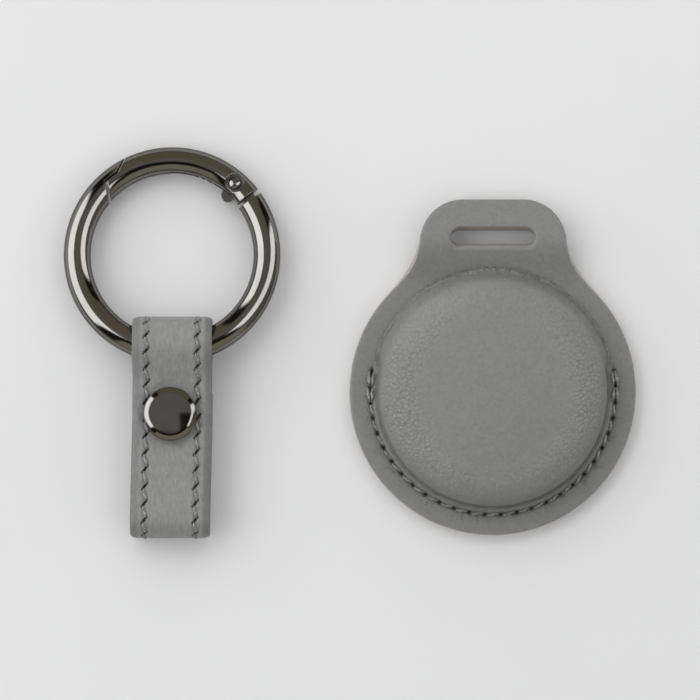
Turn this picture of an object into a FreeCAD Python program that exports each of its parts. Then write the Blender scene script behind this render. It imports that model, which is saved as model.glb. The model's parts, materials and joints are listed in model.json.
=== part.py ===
import FreeCAD, Part
import math
import os
from types import SimpleNamespace

import Sketcher

# A tracker tag holder: a sewn leather pouch with a slotted tab, and beside it a press-stud strap
# on a spring gate ring. It lies on a table at z = 0, and the tab and the ring point along +Y.

# Driving dimensions in millimetres and degrees, one group for each unit.
SIZES = {
    # Where the two units lie on the table: the tag's centre, and the press stud's centre.
    "pouch_x": 21.9,
    "pouch_y": -7.6,
    "strap_x": -27.5,
    "strap_y": -10.9,
    # The tag that the pouch holds.
    "tag_radius": 15.95,
    "tag_height": 8.0,
    "tag_shoulder": 3.6,
    "tag_crown_radius": 80.0,
    "tag_foot": 2.2,
    "cover_margin": 3.15,
    "cover_thick": 0.6,
    "cover_step": 0.5,
    "frame_wall": 2.4,
    "cell_height": 3.2,
    "board_margin": 3.55,
    "board_thick": 0.9,
    "sounder_margin": 6.4,
    "sounder_room": 0.6,
    "tag_slack": 0.1,
    # The pouch.
    "panel_thick": 1.2,
    "dome_slack": 0.25,
    "crease_radius": 0.9,
    "rim_width": 4.6,
    "tab_width": 22.5,
    "tab_rise": 7.6,
    "tab_corner": 6.6,
    "neck_radius": 10.0,
    "slot_length": 13.1,
    "slot_width": 3.2,
    "slot_drop": 5.9,
    "mouth_rise": 3.2,
    # Sewing thread, on the pouch and on the strap.
    "thread_width": 0.5,
    "thread_height": 0.3,
    "thread_slack": 0.1,
    "pouch_stitch": 1.7,
    "pouch_stitch_inset": 3.2,
    "pouch_stitch_count": 27,
    "strap_stitch": 1.7,
    "strap_stitch_pitch": 2.6,
    "strap_stitch_inset": 2.2,
    "stitch_slant": 12.0,
    # The strap, in two plies.
    "strap_width": 12.2,
    "face_ply": 0.7,
    "lining_ply": 0.6,
    "glue_gap": 0.1,
    "snap_to_loop": 10.6,
    "snap_to_fold": 15.7,
    "pinch_reach": 5.4,
    "end_reach": 5.0,
    "tail_reach": 4.6,
    "tail_corner": 2.0,
    "loop_clearance": 0.13,
    # The press stud.
    "cap_radius": 4.1,
    "cap_rim": 0.7,
    "cap_height": 1.5,
    "cap_flat_radius": 3.35,
    "cap_post_radius": 1.2,
    "cap_flare_radius": 1.6,
    "cap_flare_height": 0.18,
    "fit_clearance": 0.03,
    "stud_flange_radius": 2.8,
    "stud_flange": 0.4,
    "stud_neck_radius": 1.35,
    "stud_bulb_radius": 1.6,
    "stud_bulb": 0.35,
    "bulb_room": 0.5,
    "socket_gap": 0.35,
    "socket_radius": 3.2,
    "socket_lip": 0.25,
    "socket_plate": 0.4,
    "socket_wall": 0.8,
    "socket_mouth_clearance": 0.15,
    "snap_wire": 0.3,
    "snap_spring_clearance": 0.05,
    "snap_spring_play": 0.1,
    "snap_spring_angle": 310.0,
    "post_head_radius": 3.25,
    "post_head": 0.5,
    "post_shank_radius": 0.9,
    "post_reach": 0.9,
    # The gate ring.
    "ring_mean_radius": 14.55,
    "tube_radius": 2.05,
    "ring_side_shift": 0.2,
    "pin_angle": 48.6,
    "gate_tail_angle": 37.7,
    "body_end_angle": 34.8,
    "nose_outer_angle": 116.0,
    "lap_start_angle": 123.0,
    "lap_end_angle": 131.3,
    "nose_inner_angle": 139.5,
    "lap_offset": 0.45,
    "nose_gap": 0.3,
    "nose_swing_angle": 1.5,
    "tongue_thick": 1.5,
    "tongue_half": 1.05,
    "fork_slot": 1.7,
    "fork_clearance": 0.1,
    "fork_end_angle": 92.0,
    "lug_reach": 2.06,
    "lug_angle": 237.0,
    "pin_radius": 0.6,
    "pin_clearance": 0.04,
    "rivet_radius": 1.0,
    "rivet_dome": 0.5,
    "spot_face_radius": 1.4,
    "spot_face_depth": 0.5,
    # The gate's coil spring.
    "coil_radius": 0.6,
    "coil_wire": 0.25,
    "coil_line_angle": 65.6,
    "coil_line_offset": 1.28,
    "coil_end_gap": 0.3,
    "coil_turns": 8,
    # How far a cut runs past what it cuts.
    "overrun": 1.0,
}

doc = FreeCAD.newDocument("tracker_tag_holder")
sheet = doc.addObject("Spreadsheet::Sheet", "Sizes")
for row, (alias, number) in enumerate(SIZES.items(), start=1):
    sheet.set(f"A{row}", alias)
    sheet.set(f"B{row}", str(number))
    sheet.setAlias(f"B{row}", alias)
doc.recompute()


class Dim:
    """A size with the sheet formula that it came from, so that a feature can be bound to it."""

    def __init__(self, value, text):
        self.value = value
        self.text = text

    def __add__(self, other):
        other = as_dim(other)
        return Dim(self.value + other.value, f"({self.text} + {other.text})")

    def __sub__(self, other):
        other = as_dim(other)
        return Dim(self.value - other.value, f"({self.text} - {other.text})")

    def __mul__(self, other):
        other = as_dim(other)
        return Dim(self.value * other.value, f"({self.text} * {other.text})")

    def __truediv__(self, other):
        other = as_dim(other)
        return Dim(self.value / other.value, f"({self.text} / {other.text})")

    def __rsub__(self, other):
        return as_dim(other) - self

    def __neg__(self):
        return 0 - self

    __radd__ = __add__
    __rmul__ = __mul__


def as_dim(number):
    return number if isinstance(number, Dim) else Dim(float(number), repr(number))


def root(size):
    return Dim(math.sqrt(size.value), f"sqrt({size.text})")


def cosine(angle):
    return Dim(math.cos(math.radians(angle.value)), f"cos({angle.text})")


def sine(angle):
    return Dim(math.sin(math.radians(angle.value)), f"sin({angle.text})")


def arcsine(ratio):
    return Dim(math.degrees(math.asin(ratio.value)), f"(asin({ratio.text}) / 1 deg)")


def polar(radius, angle):
    return radius * cosine(angle), radius * sine(angle)


ZERO = as_dim(0)
s = SimpleNamespace(**{alias: Dim(float(sheet.get(alias)), f"Sizes.{alias}") for alias in SIZES})


class Outline:
    """A closed line of straight runs and arcs, whose corners are sizes."""

    def __init__(self, x, y):
        self.corners = [(as_dim(x), as_dim(y))]
        self.runs = []

    def line(self, x, y):
        self.corners.append((as_dim(x), as_dim(y)))
        self.runs.append(None)
        return self

    def arc(self, x, y, centre, radius, turn):
        """An arc to a point; turn is +1 for anticlockwise, -1 for clockwise."""
        self.corners.append((as_dim(x), as_dim(y)))
        self.runs.append((centre, radius, turn))
        return self

    def close(self):
        return self.line(*self.corners[0])

    def draw(self, sketch):
        count = len(self.runs)
        ends = []
        for k, run in enumerate(self.runs):
            here, there = (FreeCAD.Vector(x.value, y.value) for x, y in self.corners[k : k + 2])
            if run is None:
                edge = sketch.addGeometry(Part.LineSegment(here, there))
                ends.append((edge, 1, 2))
                continue
            centre, radius, turn = run
            middle = FreeCAD.Vector(as_dim(centre[0]).value, as_dim(centre[1]).value)
            first, last = (here, there) if turn > 0 else (there, here)
            start, stop = (math.atan2(p.y - middle.y, p.x - middle.x) for p in (first, last))
            if stop <= start:
                stop += 2 * math.pi
            circle = Part.Circle(middle, FreeCAD.Vector(0, 0, 1), radius.value)
            edge = sketch.addGeometry(Part.ArcOfCircle(circle, start, stop))
            ends.append((edge, 1, 2) if turn > 0 else (edge, 2, 1))
        for k in range(count):
            edge, begin, _ = ends[k]
            before, _, finish = ends[k - 1]
            sketch.addConstraint(Sketcher.Constraint("Coincident", before, finish, edge, begin))
            for kind, size in zip(("DistanceX", "DistanceY"), self.corners[k]):
                bind(sketch, Sketcher.Constraint(kind, -1, 1, edge, begin, size.value), size)
            if self.runs[k] is not None:
                (x0, y0), (x1, y1) = self.corners[k : k + 2]
                across = abs((x1 - x0).value) > abs((y1 - y0).value)
                kind, size = ("DistanceX", "DistanceY")[across], as_dim(self.runs[k][0][across])
                bind(sketch, Sketcher.Constraint(kind, -1, 1, edge, 3, size.value), size)


class Disc:
    """A full circle in a sketch."""

    def __init__(self, x, y, radius):
        self.place = as_dim(x), as_dim(y)
        self.radius = radius

    def draw(self, sketch):
        middle = FreeCAD.Vector(self.place[0].value, self.place[1].value)
        edge = sketch.addGeometry(Part.Circle(middle, FreeCAD.Vector(0, 0, 1), self.radius.value))
        for kind, size in zip(("DistanceX", "DistanceY"), self.place):
            bind(sketch, Sketcher.Constraint(kind, -1, 1, edge, 3, size.value), size)
        bind(sketch, Sketcher.Constraint("Radius", edge, self.radius.value), self.radius)


def bind(sketch, constraint, size):
    sketch.setExpression(f"Constraints[{sketch.addConstraint(constraint)}]", size.text)


def new_body(label, x=ZERO, y=ZERO, z=ZERO, tilt=None):
    """A body at a place, turned about X by the tilt."""
    body = doc.addObject("PartDesign::Body", label)
    body.Label = label
    place(body, x, y, z, tilt)
    return body


def place(item, x, y, z, tilt=None):
    turn = FreeCAD.Rotation(FreeCAD.Vector(1, 0, 0), tilt.value if tilt else 0)
    item.Placement = FreeCAD.Placement(FreeCAD.Vector(x.value, y.value, z.value), turn)
    for axis, size in zip("xyz", (x, y, z)):
        item.setExpression(f"Placement.Base.{axis}", size.text)
    if tilt:
        item.setExpression("Placement.Rotation.Angle", tilt.text)


def new_sketch(body, plane, *shapes, lift=None):
    """A sketch on one of the body's own planes, lifted along that plane's normal."""
    sketch = body.newObject("Sketcher::SketchObject", f"{body.Label}_sketch")
    support = next(f for f in body.Origin.OriginFeatures if f.Role == f"{plane}_Plane")
    sketch.AttachmentSupport = [(support, "")]
    sketch.MapMode = "FlatFace"
    if lift:
        sketch.setExpression("AttachmentOffset.Base.z", lift.text)
    for shape in shapes:
        shape.draw(sketch)
    doc.recompute()
    return sketch


def pad(body, sketch, length, symmetric=False):
    feature = body.newObject("PartDesign::Pad", f"{body.Label}_pad")
    feature.Profile = sketch
    feature.setExpression("Length", length.text)
    feature.SideType = "Symmetric" if symmetric else "One side"
    doc.recompute()
    return feature


def cut(body, sketch, length=None, up=False, symmetric=False):
    """A pocket into the body, by a length or right through it both ways."""
    before = body.Shape.Volume
    feature = body.newObject("PartDesign::Pocket", f"{body.Label}_cut")
    feature.Profile = sketch
    if length is None:
        feature.Type = "ThroughAll"
        feature.SideType = "Symmetric"
    else:
        feature.setExpression("Length", length.text)
        feature.SideType = "Symmetric" if symmetric else "One side"
        feature.Reversed = up
    doc.recompute()
    require_less(body, before)
    return feature


def turn_on_axis(body, sketch, angle=None, removes=False, midplane=False):
    """A solid or a groove, turned about the sketch's vertical axis."""
    before = body.Shape.Volume if removes else 0
    kind = "Groove" if removes else "Revolution"
    feature = body.newObject(f"PartDesign::{kind}", f"{body.Label}_{kind.lower()}")
    feature.Profile = sketch
    feature.ReferenceAxis = (sketch, ["V_Axis"])
    feature.Midplane = midplane
    if angle:
        feature.setExpression("Angle", angle.text)
    doc.recompute()
    if removes:
        require_less(body, before)
    return feature


def require_less(body, before):
    if not body.Shape.Volume < before:
        raise RuntimeError(f"a cut in {body.Label} removed nothing")


def box_outline(x0, y0, x1, y1):
    return Outline(x0, y0).line(x1, y0).line(x1, y1).line(x0, y1).close()


def stadium(x0, y0, x1, y1, radius):
    """A bar with round ends from one point to another."""
    dx, dy = x1 - x0, y1 - y0
    length = root(dx * dx + dy * dy)
    sx, sy = radius * dy / length, -(radius * dx / length)
    outline = Outline(x0 + sx, y0 + sy).line(x1 + sx, y1 + sy)
    outline.arc(x1 - sx, y1 - sy, (x1, y1), radius, 1).line(x0 - sx, y0 - sy)
    return outline.arc(x0 + sx, y0 + sy, (x0, y0), radius, 1)


# Sizes that follow from the driving ones.
back_top = s.panel_thick
cover_radius = s.tag_radius - s.cover_margin
board_radius = s.tag_radius - s.board_margin
cell_radius = board_radius - s.frame_wall
sounder_radius = board_radius - s.sounder_margin
dome_wall = s.dome_slack + s.panel_thick
dome_radius = s.tag_radius + dome_wall
pouch_radius = dome_radius + s.rim_width
tab_half = s.tab_width / 2
tab_top = pouch_radius + s.tab_rise
slot_middle = tab_top - s.slot_drop
slot_half = (s.slot_length - s.slot_width) / 2
stitch_radius = pouch_radius - s.pouch_stitch_inset
groove_depth = s.thread_height + s.thread_slack

strip = s.face_ply + s.lining_ply
strap_half = s.strap_width / 2
flange_top = strip + s.stud_flange
socket_foot = flange_top + s.socket_gap
lip_top = socket_foot + s.socket_lip
neck_top = lip_top + s.snap_wire + s.snap_spring_play
bulb_top = neck_top + s.stud_bulb
flare_foot = bulb_top + s.bulb_room
plate_foot = flare_foot + s.cap_flare_height
socket_top = plate_foot + s.socket_plate
end_top = socket_top + strip
front_top = end_top + s.glue_gap + strip
fold_radius = front_top / 2

ring_outer = s.ring_mean_radius + s.tube_radius
ring_inner = s.ring_mean_radius - s.tube_radius
ring_edge = root(ring_inner * ring_inner - strap_half * strap_half)
ring_reach = (ring_outer + ring_edge) / 2
loop_radius = ring_outer - ring_reach + s.loop_clearance + strip
ring_tilt = -arcsine((loop_radius - s.tube_radius) / (ring_reach + s.ring_mean_radius))


def tag_profile(grow):
    """Radius and height of the tag's upper shoulder and crown, grown by a wall."""
    radius, shoulder = s.tag_radius + grow, s.tag_shoulder + grow
    crown, top = s.tag_crown_radius + grow, back_top + s.tag_slack + s.tag_height + grow
    inner, reach = radius - shoulder, crown - shoulder
    lift = root(reach * reach - inner * inner)
    crown_middle = top - crown
    return SimpleNamespace(
        radius=radius,
        shoulder=shoulder,
        crown=crown,
        top=top,
        crown_middle=crown_middle,
        middle=(inner, crown_middle + lift),
        joint=(inner * crown / reach, crown_middle + lift * crown / reach),
    )


def dome_outline(grow, foot):
    """Half of the dome's section, from the axis at the foot up to the crown."""
    p = tag_profile(grow)
    outline = Outline(ZERO, foot).line(p.radius, foot).line(p.radius, p.middle[1])
    outline.arc(*p.joint, p.middle, p.shoulder, 1)
    return outline.arc(ZERO, p.top, (ZERO, p.crown_middle), p.crown, 1).close()


def panel_outline():
    """The pouch seen from above: a disc with a slotted tab, joined by a concave neck that touches both."""
    corner_x, corner_y = tab_half - s.tab_corner, tab_top - s.tab_corner
    to_corner = root(corner_x * corner_x + corner_y * corner_y)
    to_neck, apart = pouch_radius + s.neck_radius, s.tab_corner + s.neck_radius
    along = (to_corner * to_corner + to_neck * to_neck - apart * apart) / (2 * to_corner)
    across = root(to_neck * to_neck - along * along)
    neck_x = (along * corner_x + across * corner_y) / to_corner
    neck_y = (along * corner_y - across * corner_x) / to_corner
    foot_x, foot_y = neck_x * pouch_radius / to_neck, neck_y * pouch_radius / to_neck
    meet_x = corner_x + (neck_x - corner_x) * s.tab_corner / apart
    meet_y = corner_y + (neck_y - corner_y) * s.tab_corner / apart
    outline = Outline(foot_x, foot_y)
    outline.arc(meet_x, meet_y, (neck_x, neck_y), s.neck_radius, -1)
    outline.arc(corner_x, tab_top, (corner_x, corner_y), s.tab_corner, 1)
    outline.line(-corner_x, tab_top)
    outline.arc(-meet_x, meet_y, (-corner_x, corner_y), s.tab_corner, 1)
    outline.arc(-foot_x, foot_y, (-neck_x, neck_y), s.neck_radius, -1)
    return outline.arc(foot_x, foot_y, (ZERO, ZERO), pouch_radius, 1)


def slot_outline():
    return stadium(-slot_half, slot_middle, slot_half, slot_middle, s.slot_width / 2)


def groove_half(stitch):
    """Half the width of a groove that a row of slanted stitches lies in."""
    return (s.thread_width + stitch * sine(s.stitch_slant)) / 2 + s.thread_slack


def make_back_panel():
    body = new_body("back_panel", s.pouch_x, s.pouch_y)
    pad(body, new_sketch(body, "XY", panel_outline()), s.panel_thick)
    cut(body, new_sketch(body, "XY", slot_outline()))
    half = groove_half(s.pouch_stitch)
    inner, outer = stitch_radius - half, stitch_radius + half
    groove = box_outline(-outer, ZERO, -inner, groove_depth)
    turn_on_axis(body, new_sketch(body, "YZ", groove), stitch_sweep(), removes=True, midplane=True)
    return body


def stitch_sweep():
    """The angle that the sewing takes up, from one end of the mouth round to the other."""
    return 2 * arcsine(s.mouth_rise / stitch_radius) + 180


def make_front_panel(label, is_flap):
    """One half of the front panel, parted where the sewing ends and the mouth begins."""
    body = new_body(label, s.pouch_x, s.pouch_y)
    pad(body, new_sketch(body, "XY", panel_outline(), lift=back_top), s.panel_thick)
    rim_top = back_top + s.panel_thick
    turn_on_axis(body, new_sketch(body, "XZ", dome_outline(dome_wall, back_top)))
    crease = Outline(dome_radius, rim_top).line(dome_radius + s.crease_radius, rim_top)
    middle = dome_radius + s.crease_radius, rim_top + s.crease_radius
    crease.arc(dome_radius, middle[1], middle, s.crease_radius, -1).close()
    turn_on_axis(body, new_sketch(body, "XZ", crease))
    hollow = dome_outline(s.dome_slack, back_top)
    turn_on_axis(body, new_sketch(body, "XZ", hollow), removes=True)
    width = pouch_radius + s.overrun
    if is_flap:
        cut(body, new_sketch(body, "XY", slot_outline()))
        other = box_outline(-width, -width, width, s.mouth_rise)
    else:
        other = box_outline(-width, s.mouth_rise, width, tab_top + s.overrun)
    cut(body, new_sketch(body, "XY", other))
    return body


def make_tag():
    """The tag's shell, board, battery frame, cell and battery cover."""
    foot = back_top + s.tag_slack
    cover_foot = foot + s.cover_step
    cover_top = cover_foot + s.cover_thick
    board_foot = cover_top + s.cell_height
    board_top = board_foot + s.board_thick
    p = tag_profile(ZERO)
    shell = new_body("tracker_shell", s.pouch_x, s.pouch_y)
    foot_x = s.tag_radius - s.tag_foot
    section = Outline(ZERO, foot).line(foot_x, foot)
    section.arc(s.tag_radius, foot + s.tag_foot, (foot_x, foot + s.tag_foot), s.tag_foot, 1)
    section.line(s.tag_radius, p.middle[1])
    section.arc(*p.joint, p.middle, p.shoulder, 1)
    section.arc(ZERO, p.top, (ZERO, p.crown_middle), p.crown, 1).close()
    turn_on_axis(shell, new_sketch(shell, "XZ", section))
    mouth, bore = cover_radius + s.tag_slack, board_radius + s.tag_slack
    room = Outline(ZERO, foot).line(mouth, foot).line(mouth, cover_top).line(bore, cover_top)
    room.line(bore, board_top).line(sounder_radius, board_top)
    room.line(sounder_radius, board_top + s.sounder_room)
    room.line(ZERO, board_top + s.sounder_room).close()
    turn_on_axis(shell, new_sketch(shell, "XZ", room), removes=True)
    return [
        shell,
        make_disc("circuit_board", board_foot, s.board_thick, board_radius),
        make_disc("battery_frame", cover_top, s.cell_height, board_radius, cell_radius + s.tag_slack),
        make_disc("coin_cell", cover_top, s.cell_height, cell_radius),
        make_disc("battery_cover", cover_foot, s.cover_thick, cover_radius),
    ]


def make_disc(label, foot, height, radius, bore=None):
    """A flat round piece of the tag, or a ring if it has a bore."""
    body = new_body(label, s.pouch_x, s.pouch_y)
    circles = [Disc(ZERO, ZERO, size) for size in (radius, bore) if size]
    pad(body, new_sketch(body, "XY", *circles, lift=foot), height)
    return body


def stitch_bar(length):
    """One thread stitch along +X, centred, lying on z = 0."""
    half, reach = s.thread_width.value / 2, (length.value - s.thread_width.value) / 2
    spots = ((-reach, -half), (reach, -half), (reach, half), (-reach, half))
    corner = [FreeCAD.Vector(x, y, 0) for x, y in spots]
    tip = FreeCAD.Vector(reach + half, 0, 0)
    edges = [
        Part.LineSegment(corner[0], corner[1]),
        Part.Arc(corner[1], tip, corner[2]),
        Part.LineSegment(corner[2], corner[3]),
        Part.Arc(corner[3], -tip, corner[0]),
    ]
    face = Part.Face(Part.Wire([edge.toShape() for edge in edges]))
    return face.extrude(FreeCAD.Vector(0, 0, s.thread_height.value))


def stitch_row(label, length, places, x, y):
    """Stitches at the places given, as one group of separate solids."""
    bar = stitch_bar(length)
    group = doc.addObject("Part::Feature", label)
    group.Label = label
    group.Shape = Part.makeCompound([bar.transformed(spot.toMatrix(), True) for spot in places])
    group.Placement = FreeCAD.Placement(FreeCAD.Vector(x.value, y.value, 0), FreeCAD.Rotation())
    return group


def pouch_stitch_places(height):
    """Round the rim from one end of the mouth to the other, each stitch a little slanted."""
    count = round(s.pouch_stitch_count.value)
    sweep = stitch_sweep().value
    for k in range(count):
        angle = 270 - sweep / 2 + sweep * (k + 0.5) / count
        turn = FreeCAD.Rotation(FreeCAD.Vector(0, 0, 1), angle + 90 + s.stitch_slant.value)
        x, y = (stitch_radius.value * f(math.radians(angle)) for f in (math.cos, math.sin))
        yield FreeCAD.Placement(FreeCAD.Vector(x, y, height), turn)


def tangent_point(point, middle, radius, side):
    """Where a line from the point touches a circle; side is +1 for above the line of centres."""
    dx, dy = middle[0] - point[0], middle[1] - point[1]
    square = dx * dx + dy * dy
    run = root(square - radius * radius)
    across, along = side * radius, run
    return (
        point[0] + run * (dx * along - dy * across) / square,
        point[1] + run * (dy * along + dx * across) / square,
    )


loop_middle = s.snap_to_loop, loop_radius
front_bend = s.pinch_reach, front_top
end_bend = s.pinch_reach, socket_top
front_touch = tangent_point(front_bend, loop_middle, loop_radius, 1)
end_touch = tangent_point(end_bend, loop_middle, loop_radius, -1)


def strap_line(depth):
    """Corners of the strap's section at a depth below its outer face, from the fold to its end."""
    normals = [
        ((touch[0] - loop_middle[0]) / loop_radius, (touch[1] - loop_middle[1]) / loop_radius)
        for touch in (front_touch, end_touch)
    ]
    radius = loop_radius - depth
    touches = [(loop_middle[0] + radius * nx, loop_middle[1] + radius * nz) for nx, nz in normals]
    (front_nx, front_nz), (end_nx, end_nz) = normals
    return SimpleNamespace(
        radius=radius,
        start=(-s.snap_to_fold, front_top - depth),
        front=(front_bend[0] - depth * (1 - front_nz) / front_nx, front_top - depth),
        touches=touches,
        end=(end_bend[0] - depth * (1 + end_nz) / end_nx, socket_top + depth),
        stop=(-s.end_reach, socket_top + depth),
    )


def make_strap_ply(label, outer_depth, inner_depth):
    """One ply of the strap: the front, the loop round the ring and the end riveted under it."""
    body = new_body(label, s.strap_x, s.strap_y)
    out, within = strap_line(outer_depth), strap_line(inner_depth)
    section = Outline(*out.start).line(*out.front).line(*out.touches[0])
    section.arc(*out.touches[1], loop_middle, out.radius, -1)
    section.line(*out.end).line(*out.stop).line(*within.stop).line(*within.end)
    section.line(*within.touches[1])
    section.arc(*within.touches[0], loop_middle, within.radius, 1)
    section.line(*within.front).line(*within.start).close()
    pad(body, new_sketch(body, "YZ", section), s.strap_width, symmetric=True)
    hole = Disc(ZERO, ZERO, s.cap_post_radius + s.fit_clearance)
    cut(body, new_sketch(body, "XY", hole))
    return body


def make_fold_ply(label, outer_depth, inner_depth):
    """One ply of the bottom fold, a half turn between the front and the tail."""
    body = new_body(label, s.strap_x, s.strap_y)
    middle = -s.snap_to_fold, fold_radius
    outer, inner = fold_radius - outer_depth, fold_radius - inner_depth
    section = Outline(middle[0], fold_radius + outer)
    section.arc(middle[0], fold_radius - outer, middle, outer, 1)
    section.line(middle[0], fold_radius - inner)
    section.arc(middle[0], fold_radius + inner, middle, inner, -1).close()
    pad(body, new_sketch(body, "YZ", section), s.strap_width, symmetric=True)
    return body


def tail_outline():
    edge, bend = s.tail_reach, s.tail_reach - s.tail_corner
    side = strap_half - s.tail_corner
    outline = Outline(-strap_half, -s.snap_to_fold).line(strap_half, -s.snap_to_fold)
    outline.line(strap_half, bend).arc(side, edge, (side, bend), s.tail_corner, 1)
    outline.line(-side, edge).arc(-strap_half, bend, (-side, bend), s.tail_corner, 1)
    return outline.close()


def make_tail():
    """The tail on the table side, with the stud's post sunk in its outer ply."""
    face = new_body("tail_face", s.strap_x, s.strap_y)
    pad(face, new_sketch(face, "XY", tail_outline()), s.face_ply)
    seat = Disc(ZERO, ZERO, s.post_head_radius + s.fit_clearance)
    cut(face, new_sketch(face, "XY", seat), s.post_head, up=True)
    half, row = groove_half(s.strap_stitch), strap_half - s.strap_stitch_inset
    rows = [box_outline(x - half, -s.snap_to_fold, x + half, tail_row_end()) for x in (-row, row)]
    cut(face, new_sketch(face, "XY", *rows), groove_depth, up=True)
    lining = new_body("tail_lining", s.strap_x, s.strap_y)
    pad(lining, new_sketch(lining, "XY", tail_outline(), lift=s.face_ply), s.lining_ply)
    for body in (face, lining):
        hole = Disc(ZERO, ZERO, s.post_shank_radius + s.fit_clearance)
        cut(body, new_sketch(body, "XY", hole))
    return [face, lining]


def tail_row_end():
    return s.tail_reach - s.tail_corner


def strap_rows(length):
    """Stitch positions along one straight run, a whole number of pitches, for both edges."""
    pitch = s.strap_stitch_pitch.value
    count = int(length / pitch)
    for side in (-1, 1):
        for k in range(count):
            yield side * (strap_half - s.strap_stitch_inset).value, pitch * (k + 0.5)


def front_stitch_places():
    """Along the flat front, clear of the cap, then up the slope to the loop."""
    along = FreeCAD.Rotation(FreeCAD.Vector(0, 0, 1), 90 + s.stitch_slant.value)
    flat = (s.snap_to_fold + s.pinch_reach).value
    cap_reach = (s.cap_radius + s.strap_stitch / 2).value
    for x, run in strap_rows(flat):
        y = run - s.snap_to_fold.value
        if math.hypot(x, y) > cap_reach:
            yield FreeCAD.Placement(FreeCAD.Vector(x, y, front_top.value), along)
    rise = [(b - a).value for a, b in zip(front_bend, front_touch)]
    slope = FreeCAD.Rotation(FreeCAD.Vector(1, 0, 0), math.degrees(math.atan2(rise[1], rise[0])))
    for x, run in strap_rows(math.hypot(*rise)):
        spot = slope.multVec(FreeCAD.Vector(0, run, 0))
        start = FreeCAD.Vector(x, front_bend[0].value, front_bend[1].value)
        yield FreeCAD.Placement(start + spot, slope.multiply(along))


def tail_stitch_places():
    along = FreeCAD.Rotation(FreeCAD.Vector(0, 0, 1), 90 - s.stitch_slant.value)
    lift = s.thread_slack.value
    for x, run in strap_rows((s.snap_to_fold + tail_row_end()).value):
        yield FreeCAD.Placement(FreeCAD.Vector(x, run - s.snap_to_fold.value, lift), along)


def make_snap():
    """The press stud: cap, socket and split ring in the front, stud and post in the tail."""
    post, flare = s.cap_post_radius, s.cap_flare_radius
    cap_top = front_top + s.cap_height
    section = Outline(ZERO, flare_foot).line(flare, flare_foot).line(flare, plate_foot)
    section.line(post, plate_foot).line(post, front_top).line(s.cap_radius, front_top)
    section.line(s.cap_radius, front_top + s.cap_rim).line(s.cap_flat_radius, cap_top)
    cap = make_turned("snap_cap", section.line(ZERO, cap_top).close())

    mouth = s.stud_bulb_radius + s.socket_mouth_clearance
    room = s.socket_radius - s.socket_wall
    hole = post + s.fit_clearance
    section = Outline(mouth, socket_foot).line(s.socket_radius, socket_foot)
    section.line(s.socket_radius, socket_top).line(hole, socket_top).line(hole, plate_foot)
    section.line(room, plate_foot).line(room, lip_top).line(mouth, lip_top).close()
    socket = make_turned("snap_socket", section)

    wire = s.snap_wire / 2
    wire_x = s.stud_neck_radius + s.snap_spring_clearance + wire
    spring = make_turned("snap_spring", Disc(wire_x, lip_top + wire, wire), s.snap_spring_angle)

    bore, bore_top = s.post_shank_radius + s.fit_clearance, strip + s.post_reach + s.fit_clearance
    bulb_x = s.stud_bulb_radius - s.stud_bulb
    section = Outline(bore, strip).line(s.stud_flange_radius, strip)
    section.line(s.stud_flange_radius, flange_top).line(s.stud_neck_radius, flange_top)
    section.line(s.stud_neck_radius, neck_top).line(s.stud_bulb_radius, neck_top)
    section.arc(bulb_x, bulb_top, (bulb_x, neck_top), s.stud_bulb, 1).line(ZERO, bulb_top)
    stud = make_turned("snap_stud", section.line(ZERO, bore_top).line(bore, bore_top).close())

    head, shank, shank_top = s.post_head_radius, s.post_shank_radius, strip + s.post_reach
    section = Outline(ZERO, ZERO).line(head, ZERO).line(head, s.post_head).line(shank, s.post_head)
    rear = make_turned("snap_post", section.line(shank, shank_top).line(ZERO, shank_top).close())
    return [cap, socket, spring, stud, rear]


def make_turned(label, section, angle=None):
    """A round piece of the press stud, turned about the stud's axis."""
    body = new_body(label, s.strap_x, s.strap_y)
    turn_on_axis(body, new_sketch(body, "XZ", section), angle)
    return body


ring_place = (
    s.strap_x + s.ring_side_shift,
    s.strap_y + s.snap_to_loop + ring_reach * cosine(ring_tilt),
    loop_radius + ring_reach * sine(ring_tilt),
    ring_tilt,
)
pin_place = polar(s.ring_mean_radius, s.pin_angle)
lap_radius = s.ring_mean_radius + s.lap_offset
far_radius = 2 * ring_outer


def full_ring(label):
    """The ring's round bar as a whole circle, for a part to be cut from."""
    body = new_body(label, *ring_place)
    turn_on_axis(body, new_sketch(body, "XZ", Disc(s.ring_mean_radius, ZERO, s.tube_radius)))
    return body


def polar_outline(points):
    outline = Outline(*polar(*points[0]))
    for point in points[1:]:
        outline.line(*polar(*point))
    return outline.close()


def arc_angle(length):
    """A short length along the ring's bar, as an angle round the ring."""
    return arcsine(length / s.ring_mean_radius)


def nose_line(shift, step, swing):
    """The stepped parting line at the nose, from outside in, moved round and out by a gap."""
    lap = lap_radius + step
    outer_slope = (s.lap_start_angle - s.nose_outer_angle) / (ring_outer - lap)
    inner_slope = (s.nose_inner_angle - s.lap_end_angle) / (lap - ring_inner)
    return [
        (ring_outer + s.overrun, s.nose_outer_angle + shift - outer_slope * s.overrun),
        (lap, s.lap_start_angle + shift),
        (lap, s.lap_end_angle + shift),
        (ring_inner - s.overrun, s.nose_inner_angle + shift + swing + inner_slope * s.overrun),
    ]


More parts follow.
